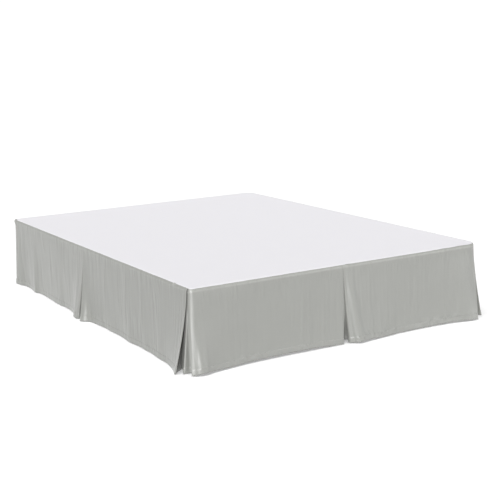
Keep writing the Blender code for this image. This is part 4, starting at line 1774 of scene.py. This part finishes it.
@dataclass
class Skirt:
    """The drops of the skirt and the underlays of its two open corners."""

    strips: dict[str, Strip] = field(default_factory=dict)

    def lay_out(self) -> None:
        """Lays the cloth of every strip."""
        self.strips = {
            "drop_left": Strip(
                "left_drop",
                LEFT,
                self._side_columns(
                    LEFT_CORNER_RETURN,
                    (LEFT_CORNER, LEFT_NEAR_EDGE, LEFT_FAR_EDGE),
                    (LEFT_NEAR_PANEL, LEFT_FAR_PANEL),
                    LEFT_PLEAT,
                ),
                Detail.LIVELY,
                11,
                LEFT_CREASES,
                LEFT_LUMPS,
            ),
            "drop_foot": Strip(
                "foot_drop", FOOT, self._foot_columns(), Detail.SMOOTH, 23, FOOT_CREASES
            ),
            "drop_right": Strip(
                "right_drop",
                RIGHT,
                self._side_columns(
                    RIGHT_CORNER_RETURN,
                    (RIGHT_CORNER, RIGHT_NEAR_EDGE, RIGHT_FAR_EDGE),
                    (RIGHT_NEAR_PANEL, RIGHT_FAR_PANEL),
                    RIGHT_PLEAT,
                ),
                Detail.LIVELY,
                37,
                RIGHT_CREASES,
            ),
            "corner_insert_left": Strip(
                "left_corner_underlay",
                UNDERLAY,
                self._insert_columns(LEFT_INSERT),
                Detail.PLAIN,
                41,
            ),
            "corner_insert_right": Strip(
                "right_corner_underlay",
                UNDERLAY,
                self._insert_columns(RIGHT_INSERT),
                Detail.PLAIN,
                43,
            ),
        }

    @staticmethod
    def _side_columns(
        start: tuple[Hem, ...],
        edges: tuple[Edge, Edge, Edge],
        panels: tuple[tuple[Hem, ...], tuple[Hem, ...]],
        pleat: Pleat,
    ) -> Columns:
        """Columns of a side drop, from the foot corner round the head corner.

        Args:
            start: Hem rows of the cloth turned in behind the foot corner.
            edges: Folds at the corner and at the two sides of the pleat.
            panels: Hem rows of the panels before and after the pleat.
            pleat: The pleat between them.

        Returns:
            The columns in order.
        """
        corner, near, far = (Fold.front(edge) for edge in edges)
        near_panel, far_panel = panels
        far_rows = (*far_panel[:-1], *head_rows(far_panel[-1]))
        return Columns.joined(
            [
                Run(start, before=corner, layer=1).columns().turned_round(),
                corner.columns(),
                Run(near_panel, corner, near).columns(),
                *round_pleat(near, pleat, far),
                Run(far_rows, before=far).columns(),
            ]
        )

    @staticmethod
    def _foot_columns() -> Columns:
        """Columns of the foot drop, from the left corner to the right one.

        Returns:
            The columns in order.
        """
        left, near, far, right = (
            Fold.front(edge)
            for edge in (FOOT_LEFT_CORNER, FOOT_LEFT_EDGE, FOOT_RIGHT_EDGE, FOOT_RIGHT_CORNER)
        )
        return Columns.joined(
            [
                Run(FOOT_LEFT_RETURN, before=left, layer=1).columns().turned_round(),
                left.columns(),
                Run(FOOT_LEFT_PANEL, left, near).columns(),
                *round_pleat(near, FOOT_PLEAT, far),
                Run(FOOT_RIGHT_PANEL, far, right).columns(),
                right.columns(),
                Run(FOOT_RIGHT_RETURN, after=right, layer=1).columns().turned_round(),
            ]
        )

    @staticmethod
    def _insert_columns(rows: tuple[Hem, ...]) -> Columns:
        """Columns of a corner underlay, straight below its place on the seam.

        Args:
            rows: Hem rows of the underlay.

        Returns:
            Its columns.
        """
        columns = Run(rows).columns()
        columns.depth += INSERT_DEPTH
        return columns

    def build(self) -> None:
        """Makes and dresses each strip and its stitches, and puts them on the body."""
        cloth, thread = GREY_CLOTH.material(), GREY_THREAD.material()
        for name, strip in self.strips.items():
            piece = strip.build()
            dress(piece, cloth)
            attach(piece, BODY)
            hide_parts(name)
            stitches = StitchLine().sew(f"{strip.name}_stitches", [strip.stitch_path()], thread)
            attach(stitches, BODY)


def triangles(piece: bpy.types.Object) -> int:
    """How many triangles a piece has."""
    return sum(len(face.vertices) - 2 for face in piece.data.polygons)


def declare(piece: bpy.types.Object, slot: str, *nodes: str) -> None:
    """Puts a piece on the body, hides the CAD nodes that it stands for and logs its triangles.

    Args:
        piece: The finished piece.
        slot: Not used.
        nodes: The CAD nodes that it stands for.
    """
    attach(piece, BODY)
    if nodes:
        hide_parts(*nodes)
    log.info("%s: %d triangles", piece.name, triangles(piece))


# -------------------------------------------------------------------------------------- deck


@dataclass(frozen=True)
class Deck:
    """The plain white top of the skirt, flat on the box spring and rolled over its edge."""

    middle_step: float = 0.014
    edge_steps: tuple[float, ...] = (
        *(0.0, 0.0006, 0.0013, 0.0022, 0.0034, 0.0050, 0.0070, 0.0092, 0.0115, 0.0140),
        *(0.0170, 0.0210, 0.0270, 0.0350, 0.0460),
    )
    ripple: float = 0.0005
    dip: float = 0.0002
    dip_width: float = 0.0016
    thickness: float = 0.0008

    RIPPLES = (Ripple(0.19, 0.31, 40, 40), Ripple(0.07, 0.12, 90, 90, 0.5))
    RIPPLE_PART = 0.6
    RIPPLE_FLOOR = -0.4  # where the cloth lies flat on the box spring
    EDGE_FADE = 0.03
    SEED = 5

    @property
    def roll(self) -> float:
        """Length of the cloth that rolls over the edge, as far as the seam."""
        return SHOULDER_RADIUS * SEAM_TURN - PIECE_GAP

    def _places(self, length: float) -> np.ndarray:
        """Places of grid lines along one side, closest at its two ends.

        Args:
            length: Length of the cloth.

        Returns:
            Places from its middle.
        """
        edge = np.array(self.edge_steps)
        inner = length - 2 * edge[-1]
        middle = np.linspace(0, inner, math.ceil(inner / self.middle_step) + 1)[1:-1] + edge[-1]
        return np.concatenate([edge, middle, length - edge[::-1]]) - length / 2

    def build(self) -> bpy.types.Object:
        """Makes the deck.

        Returns:
            The deck, dressed and declared.
        """
        xs, ys = self._places(BED_WIDTH + 2 * self.roll), self._places(BED_LENGTH + 2 * self.roll)
        x, y = (grid.reshape(-1) for grid in np.meshgrid(xs, ys, indexing="ij"))
        places = np.stack([x, y], axis=1)
        faces = sheet_faces(len(xs), len(ys), reverse=True)
        piece = Grid("white_deck", self._laid(places), faces).build(places)
        thicken(piece, self.thickness)
        dress(piece, WHITE_CLOTH.material())
        declare(piece, "white_cloth", "deck")
        flat = BED_WIDTH + 2 * self.roll + 0.02, BED_LENGTH + 2 * self.roll + 0.02
        return piece

    def _laid(self, places: np.ndarray) -> np.ndarray:
        """Lays the flat cloth over the box spring and round its edge.

        Args:
            places: Places on the flat cloth, from its middle.

        Returns:
            A point for each of them.
        """
        at_foot = np.where(places[:, 0] > 0, FOOT_RIGHT_RADIUS, FOOT_LEFT_RADIUS)
        corner = np.where(places[:, 1] > 0, HEAD_RADIUS, at_foot)
        inner = HALF_BED - corner[:, None]
        over = np.maximum(0.0, np.abs(places) - inner) / (corner + self.roll)[:, None]
        curved = round_the_corner(over)
        reach = np.linalg.norm(curved, axis=1)
        direction = curved / np.maximum(reach, 1e-9)[:, None]
        from_seam = (1 - reach) * (corner + self.roll)
        past = np.maximum(0.0, self.roll - from_seam)
        angle = past / SHOULDER_RADIUS
        dip = self.dip * np.exp(-((from_seam / self.dip_width) ** 2))
        noise = SmoothNoise(self.SEED)
        ripple = sum(layer.at(noise, *places.T) for layer in self.RIPPLES)
        ripple = np.maximum(ripple, self.RIPPLE_FLOOR)
        edge = (HALF_BED - np.abs(places)).min(axis=1)
        lift = self.RIPPLE_PART * self.ripple * ripple * smooth_step(edge / self.EDGE_FADE)
        radius = SHOULDER_RADIUS - dip
        flat = np.minimum(reach * (corner + self.roll), corner)
        out = flat + PIECE_GAP * past / self.roll + radius * np.sin(angle)
        plan = np.sign(places) * (np.minimum(np.abs(places), inner) + direction * out[:, None])
        z = SHOULDER_END + radius * np.cos(angle) + lift
        return np.column_stack([plan + BED_MIDDLE, z])


# ---------------------------------------------------------------------------------- the base


def rounded_corners(places: np.ndarray, half: np.ndarray, radius: float) -> np.ndarray:
    """Places on a sharp rectangle, moved so that its corners are round.

    Args:
        places: Places on the rectangle, from its middle.
        half: Half of its width and of its length.
        radius: Radius of its corners.

    Returns:
        The moved places.
    """
    inner = half - radius
    over = np.maximum(0.0, (np.abs(places) - inner) / radius)
    return np.sign(places) * (np.minimum(np.abs(places), inner) + round_the_corner(over) * radius)


def box_outline(
    inset: float, facets: int = 10, step: float = 0.05
) -> tuple[np.ndarray, np.ndarray]:
    """Outline of the box spring with rounded corners, seen from above.

    Args:
        inset: How far inside its side it runs.
        facets: Facets of each corner.
        step: The most between two points of a side.

    Returns:
        The points, counter-clockwise, and how far round the box each one is.
    """
    signs = ((1, 1), (-1, 1), (-1, -1), (1, -1))
    corners = []
    for quarter, (sign, radius) in enumerate(zip(signs, BOX_RADII)):
        angles = np.linspace(0, math.pi / 2, facets + 1) + quarter * math.pi / 2
        spokes = np.stack([np.cos(angles), np.sin(angles)], axis=1)
        corners.append(np.array(sign) * (HALF_BED - radius) + spokes * (radius - inset))
    parts = []
    for corner, following in zip(corners, corners[1:] + corners[:1]):
        gap = following[0] - corner[-1]
        count = math.ceil(float(np.linalg.norm(gap)) / step)
        parts += [corner, corner[-1] + gap * (np.arange(1, count) / count)[:, None]]
    points = np.concatenate(parts)
    lengths = np.linalg.norm(np.diff(points, axis=0), axis=1)
    return points + BED_MIDDLE, np.concatenate([[0.0], np.cumsum(lengths)])


@dataclass(frozen=True)
class BoxSpring:
    """A plain box spring: its cover, the piping round its edges and the dust cover below it."""

    height: float = 0.2286
    piping_radius: float = 0.0030
    piping_inset: float = 0.0053
    hollow: float = 0.0004
    profile: tuple[tuple[float, float], ...] = (
        (0.0115, 0.0),
        (0.0085, 0.0012),
        (0.0060, 0.0030),
        (0.0035, 0.0045),
        (0.0020, 0.0066),
        (0.0012, 0.0095),
        (0.0006, 0.0150),
        (0.0002, 0.0300),
        (0.0000, 0.0600),
    )  # inset and distance from the top or bottom

    PIPING_SIDES = 8
    PIPING_FACETS = 12  # of each corner
    DUST_INSET = 0.016
    DUST_STEP = 0.03  # between two grid lines
    DUST_THICKNESS = 0.0006
    DUST_GAP = 0.0006  # below the cover
    DUST_SAG = 0.0006
    DUST_SAG_FADE = 0.05  # from its edge
    DUST_RIPPLE = Ripple(0.12, 0.15, 9, 9)
    DUST_SEED = 61

    @property
    def bottom(self) -> float:
        """Height of its underside above the floor."""
        return BOX_TOP - self.height

    def build(self) -> None:
        cover = self._cover()
        dress(cover, TICKING.material())
        declare(cover, "ticking", "box_spring")
        piping = self._piping()
        dress(piping, PIPING.material())
        declare(piping, "ticking")
        dust = self._dust_cover()
        dress(dust, DUST_COVER.material())
        declare(dust, "ticking")

    def _cover(self) -> bpy.types.Object:
        """The upholstered body, closed below by its own face.

        Returns:
            The cover.
        """
        levels = [(inset, BOX_TOP - below) for inset, below in self.profile]
        levels += [(inset, self.bottom + above) for inset, above in self.profile[::-1]]
        points, uv = [], []
        for inset, z in levels:
            plan, run = box_outline(inset + self._crown(z))
            points.append(np.column_stack([plan, np.full(len(plan), z)]))
            uv.append(np.stack([run, np.full(len(plan), z)], axis=1))
        count = len(points[0])
        rings = np.arange(len(levels) * count).reshape(-1, count)
        after = np.roll(rings, -1, axis=1)
        faces = np.stack([rings[:-1], rings[1:], after[1:], after[:-1]], axis=-1).reshape(-1, 4)
        grid = Grid("box_spring_cover", np.concatenate(points), faces)
        piece = grid.build(np.concatenate(uv))
        mesh = bmesh.new()
        mesh.from_mesh(piece.data)
        mesh.verts.ensure_lookup_table()
        layer = mesh.loops.layers.uv["cloth"]
        for ring in (rings[0], rings[-1][::-1]):
            face = mesh.faces.new([mesh.verts[i] for i in ring])
            for loop in face.loops:
                loop[layer].uv = loop.vert.co.xy
            face.smooth = False
        mesh.normal_update()
        mesh.to_mesh(piece.data)
        mesh.free()
        return piece

    def _crown(self, z: float) -> float:
        """How far the side lies inside at one height, where its cover is pulled to the edges."""
        t = (z - self.bottom) / self.height
        return self.hollow * (1 - 4 * t * (1 - t))

    def _piping(self) -> bpy.types.Object:
        """Round piping along the top and bottom edges.

        Returns:
            The piping of both edges.
        """
        sides, radius = self.PIPING_SIDES, self.piping_radius
        points, uv, faces = [], [], []
        for middle in (BOX_TOP - self.piping_inset, self.bottom + self.piping_inset):
            first = sum(len(ring) for ring in points)
            for i in range(sides):
                angle = 2 * math.pi * i / sides
                inset = self.piping_inset - radius * math.cos(angle)
                plan, run = box_outline(inset, self.PIPING_FACETS)
                z = np.full(len(plan), middle + radius * math.sin(angle))
                points.append(np.column_stack([plan, z]))
                uv.append(np.stack([run, np.full(len(plan), angle * radius)], axis=1))
            count = len(points[-1])
            rings = first + np.arange(sides * count).reshape(sides, count)
            around, after = np.roll(rings, -1, axis=0), np.roll(rings, -1, axis=1)
            both = np.roll(around, -1, axis=1)
            faces.append(np.stack([rings, after, both, around], axis=-1).reshape(-1, 4))
        grid = Grid("piping", np.concatenate(points), np.concatenate(faces))
        return grid.build(np.concatenate(uv))

    def _dust_cover(self) -> bpy.types.Object:
        """Thin dark cloth stapled under the frame.

        Returns:
            The dust cover.
        """
        half = HALF_BED - self.DUST_INSET
        counts = (math.ceil(2 * reach / self.DUST_STEP) + 1 for reach in half)
        xs, ys = (np.linspace(-reach, reach, count) for reach, count in zip(half, counts))
        x, y = (grid.reshape(-1) for grid in np.meshgrid(xs, ys, indexing="ij"))
        places = np.stack([x, y], axis=1)
        plan = rounded_corners(places, half, max(BOX_RADII) - self.DUST_INSET) + BED_MIDDLE
        edge = (half - np.abs(places)).min(axis=1)
        uneven = 1 + self.DUST_RIPPLE.at(SmoothNoise(self.DUST_SEED), x, y)
        sag = self.DUST_SAG * smooth_step(edge / self.DUST_SAG_FADE) * uneven
        points = np.column_stack([plan, self.bottom - self.DUST_GAP - sag])
        piece = Grid("dust_cover_cloth", points, sheet_faces(len(xs), len(ys))).build(places)
        thicken(piece, self.DUST_THICKNESS)
        return piece


@dataclass(frozen=True)
class Leg:
    """A turned wooden leg on a plastic glide."""

    node: str
    place: tuple[float, float]
    top: float
    sides: int = 36
    profile: tuple[tuple[float, float], ...] = (
        (0.0, 0.0270),
        (0.0012, 0.0275),
        (0.0100, 0.0272),
        (0.0300, 0.0258),
        (0.0600, 0.0236),
        (0.0900, 0.0213),
        (0.1120, 0.0197),
        (0.1190, 0.0192),
        (0.1204, 0.0184),
    )  # below the top, and radius

    GLIDE_RADIUS = 0.0166
    GLIDE_TOP = (0.0006, 0.0160)  # height of its upper edge, and radius inside it
    GLIDE_FOOT = (0.0012, 0.0154)  # the same at the floor

    def build(self, wood: bpy.types.Material, plastic: bpy.types.Material) -> None:
        """Args:
            wood: Material of the turned leg.
            plastic: Material of its glide.
        """
        name = f"turned_{self.node}"
        turned = self._lathed(name, [(self.top - down, radius) for down, radius in self.profile])
        dress(turned, wood)
        declare(turned, "leg_wood", self.node)
        foot = self.top - self.profile[-1][0]
        (edge, top_radius), (rise, foot_radius) = self.GLIDE_TOP, self.GLIDE_FOOT
        sides = (foot - edge, self.GLIDE_RADIUS), (rise, self.GLIDE_RADIUS)
        glide = ((foot, top_radius), *sides, (0.0, foot_radius))
        pad = self._lathed(f"{self.node}_glide", glide)
        dress(pad, plastic)
        declare(pad, "leg_wood")

    def _lathed(self, name: str, profile: Sequence[tuple[float, float]]) -> bpy.types.Object:
        """A closed turned solid.

        Args:
            name: Name of the piece.
            profile: Heights and radii, from the top down.

        Returns:
            The solid.
        """
        mesh = bmesh.new()
        rings = []
        for z, radius in profile:
            ring = []
            for i in range(self.sides):
                angle = 2 * math.pi * i / self.sides
                x = self.place[0] + radius * math.cos(angle)
                y = self.place[1] + radius * math.sin(angle)
                ring.append(mesh.verts.new((x, y, z)))
            rings.append(ring)
        for upper, lower in zip(rings, rings[1:]):
            for i in range(self.sides):
                j = (i + 1) % self.sides
                mesh.faces.new((upper[i], lower[i], lower[j], upper[j])).smooth = True
        mesh.faces.new(rings[0])
        mesh.faces.new(rings[-1][::-1])
        data = bpy.data.meshes.new(name)
        mesh.to_mesh(data)
        mesh.free()
        return linked(name, data)


# ------------------------------------------------------------------------------------ studio


@dataclass(frozen=True)
class Light:
    """A broad, soft lamp a long way off."""

    name: str
    azimuth: float  # of where it shines from, in degrees from +X towards +Y
    elevation: float
    strength: float
    spread: float  # degrees

    DISTANCE = 5.0

    def build(self) -> None:
        """Puts the lamp in the scene."""
        lamp = bpy.data.lights.new(self.name, "SUN")
        lamp.energy = self.strength * math.pi
        lamp.angle = math.radians(self.spread)
        holder = bpy.data.objects.new(self.name, lamp)
        bpy.context.collection.objects.link(holder)
        azimuth, elevation = math.radians(self.azimuth), math.radians(self.elevation)
        away = Vector(
            (
                math.cos(azimuth) * math.cos(elevation),
                math.sin(azimuth) * math.cos(elevation),
                math.sin(elevation),
            )
        )
        holder.rotation_euler = away.to_track_quat("Z", "Y").to_euler()
        holder.location = away * self.DISTANCE


@dataclass(frozen=True)
class Studio:
    """Pale floor, soft lamps, sky and camera."""

    place: tuple[float, float, float] = (-2.7753, -4.7926, 1.3882)  # from the bed's middle
    yaw: float = 0.5458  # from +Y towards +X
    pitch: float = 0.20265  # downwards
    roll: float = -0.0223
    lens: float = 79.24
    floor_colour: Colour = (0.86, 0.86, 0.86)
    floor_glow: float = 0.18
    sky: float = 0.28
    horizon: float = 1.32
    lights: tuple[Light, ...] = (
        Light("low key light", 233.0, 10.0, 1.02, 14.0),
        Light("overhead light", 215.0, 74.0, 0.64, 40.0),
        Light("foot side light", 308.0, 13.0, 0.18, 30.0),
    )

    FLOOR_REACH = 60.0
    HORIZON_TOP = 0.06  # height in the sky where its horizon band begins to fade
    HORIZON_FADE = 0.10
    SENSOR_WIDTH = 36.0

    def build(self) -> None:
        """Makes the studio."""
        self._floor()
        self._sky()
        self._camera()
        for light in self.lights:
            light.build()
        bpy.context.scene.view_settings.view_transform = "Standard"

    def _floor(self) -> None:
        """A wide pale floor."""
        half = self.FLOOR_REACH
        mesh = bpy.data.meshes.new("floor")
        corners = [(-half, -half, 0), (half, -half, 0), (half, half, 0), (-half, half, 0)]
        mesh.from_pydata(corners, [], [(0, 1, 2, 3)])
        floor = linked("floor", mesh)
        surface = Surface("floor")
        glow = {"Emission Color": (1.0, 1.0, 1.0, 1.0), "Emission Strength": self.floor_glow}
        matt = {"Roughness": 1.0, "Specular IOR Level": 0.0}
        colour = {"Base Color": (*self.floor_colour, 1.0)} | matt
        dress(floor, surface.finish(colour | glow))

    def _sky(self) -> None:
        """Soft light from all round, brightest at the horizon."""
        world = bpy.data.worlds.new("sky")
        bpy.context.scene.world = world
        world.use_nodes = True
        tree = world.node_tree
        tree.nodes.clear()
        direction = node(tree, "TexCoord")[0]
        height = node(tree, "SeparateXYZ", None, {"Vector": direction})[2]
        above = ((height - self.HORIZON_TOP) / self.HORIZON_FADE).held()
        strength = self.horizon + above * (self.sky - self.horizon)
        background = node(tree, "Background", None, {"Strength": strength})[0]
        node(tree, "OutputWorld", None, {"Surface": background})

    def _camera(self) -> None:
        """Camera at the product's three-quarter view."""
        yaw, pitch = self.yaw, self.pitch
        forward = Vector(
            (math.sin(yaw) * math.cos(pitch), math.cos(yaw) * math.cos(pitch), -math.sin(pitch))
        )
        right = Vector((math.cos(yaw), -math.sin(yaw), 0))
        up = right.cross(forward)
        turned_right = right * math.cos(self.roll) + up * math.sin(self.roll)
        turned_up = up * math.cos(self.roll) - right * math.sin(self.roll)
        turn = Matrix((turned_right, turned_up, -forward)).transposed()
        data = bpy.data.cameras.new("camera")
        data.lens = self.lens
        data.sensor_width = self.SENSOR_WIDTH
        camera = bpy.data.objects.new("camera", data)
        place = Vector(self.place) + Vector((*BED_MIDDLE, 0.0))
        camera.matrix_world = Matrix.Translation(place) @ turn.to_4x4()
        bpy.context.collection.objects.link(camera)
        bpy.context.scene.camera = camera


def main() -> None:
    """Builds the object and its studio."""
    logging.basicConfig(level=logging.INFO)
    skirt = Skirt()
    skirt.lay_out()
    skirt.build()
    Deck().build()
    BoxSpring().build()
    wood, plastic = LEG_WOOD.material(), GLIDE.material()
    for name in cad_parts:
        if name.startswith("leg_"):
            low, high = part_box(name)
            middle = (low + high) / 2
            Leg(name, (middle.x, middle.y), high.z).build(wood, plastic)
    Studio().build()


if __name__ == "__main__":
    main()
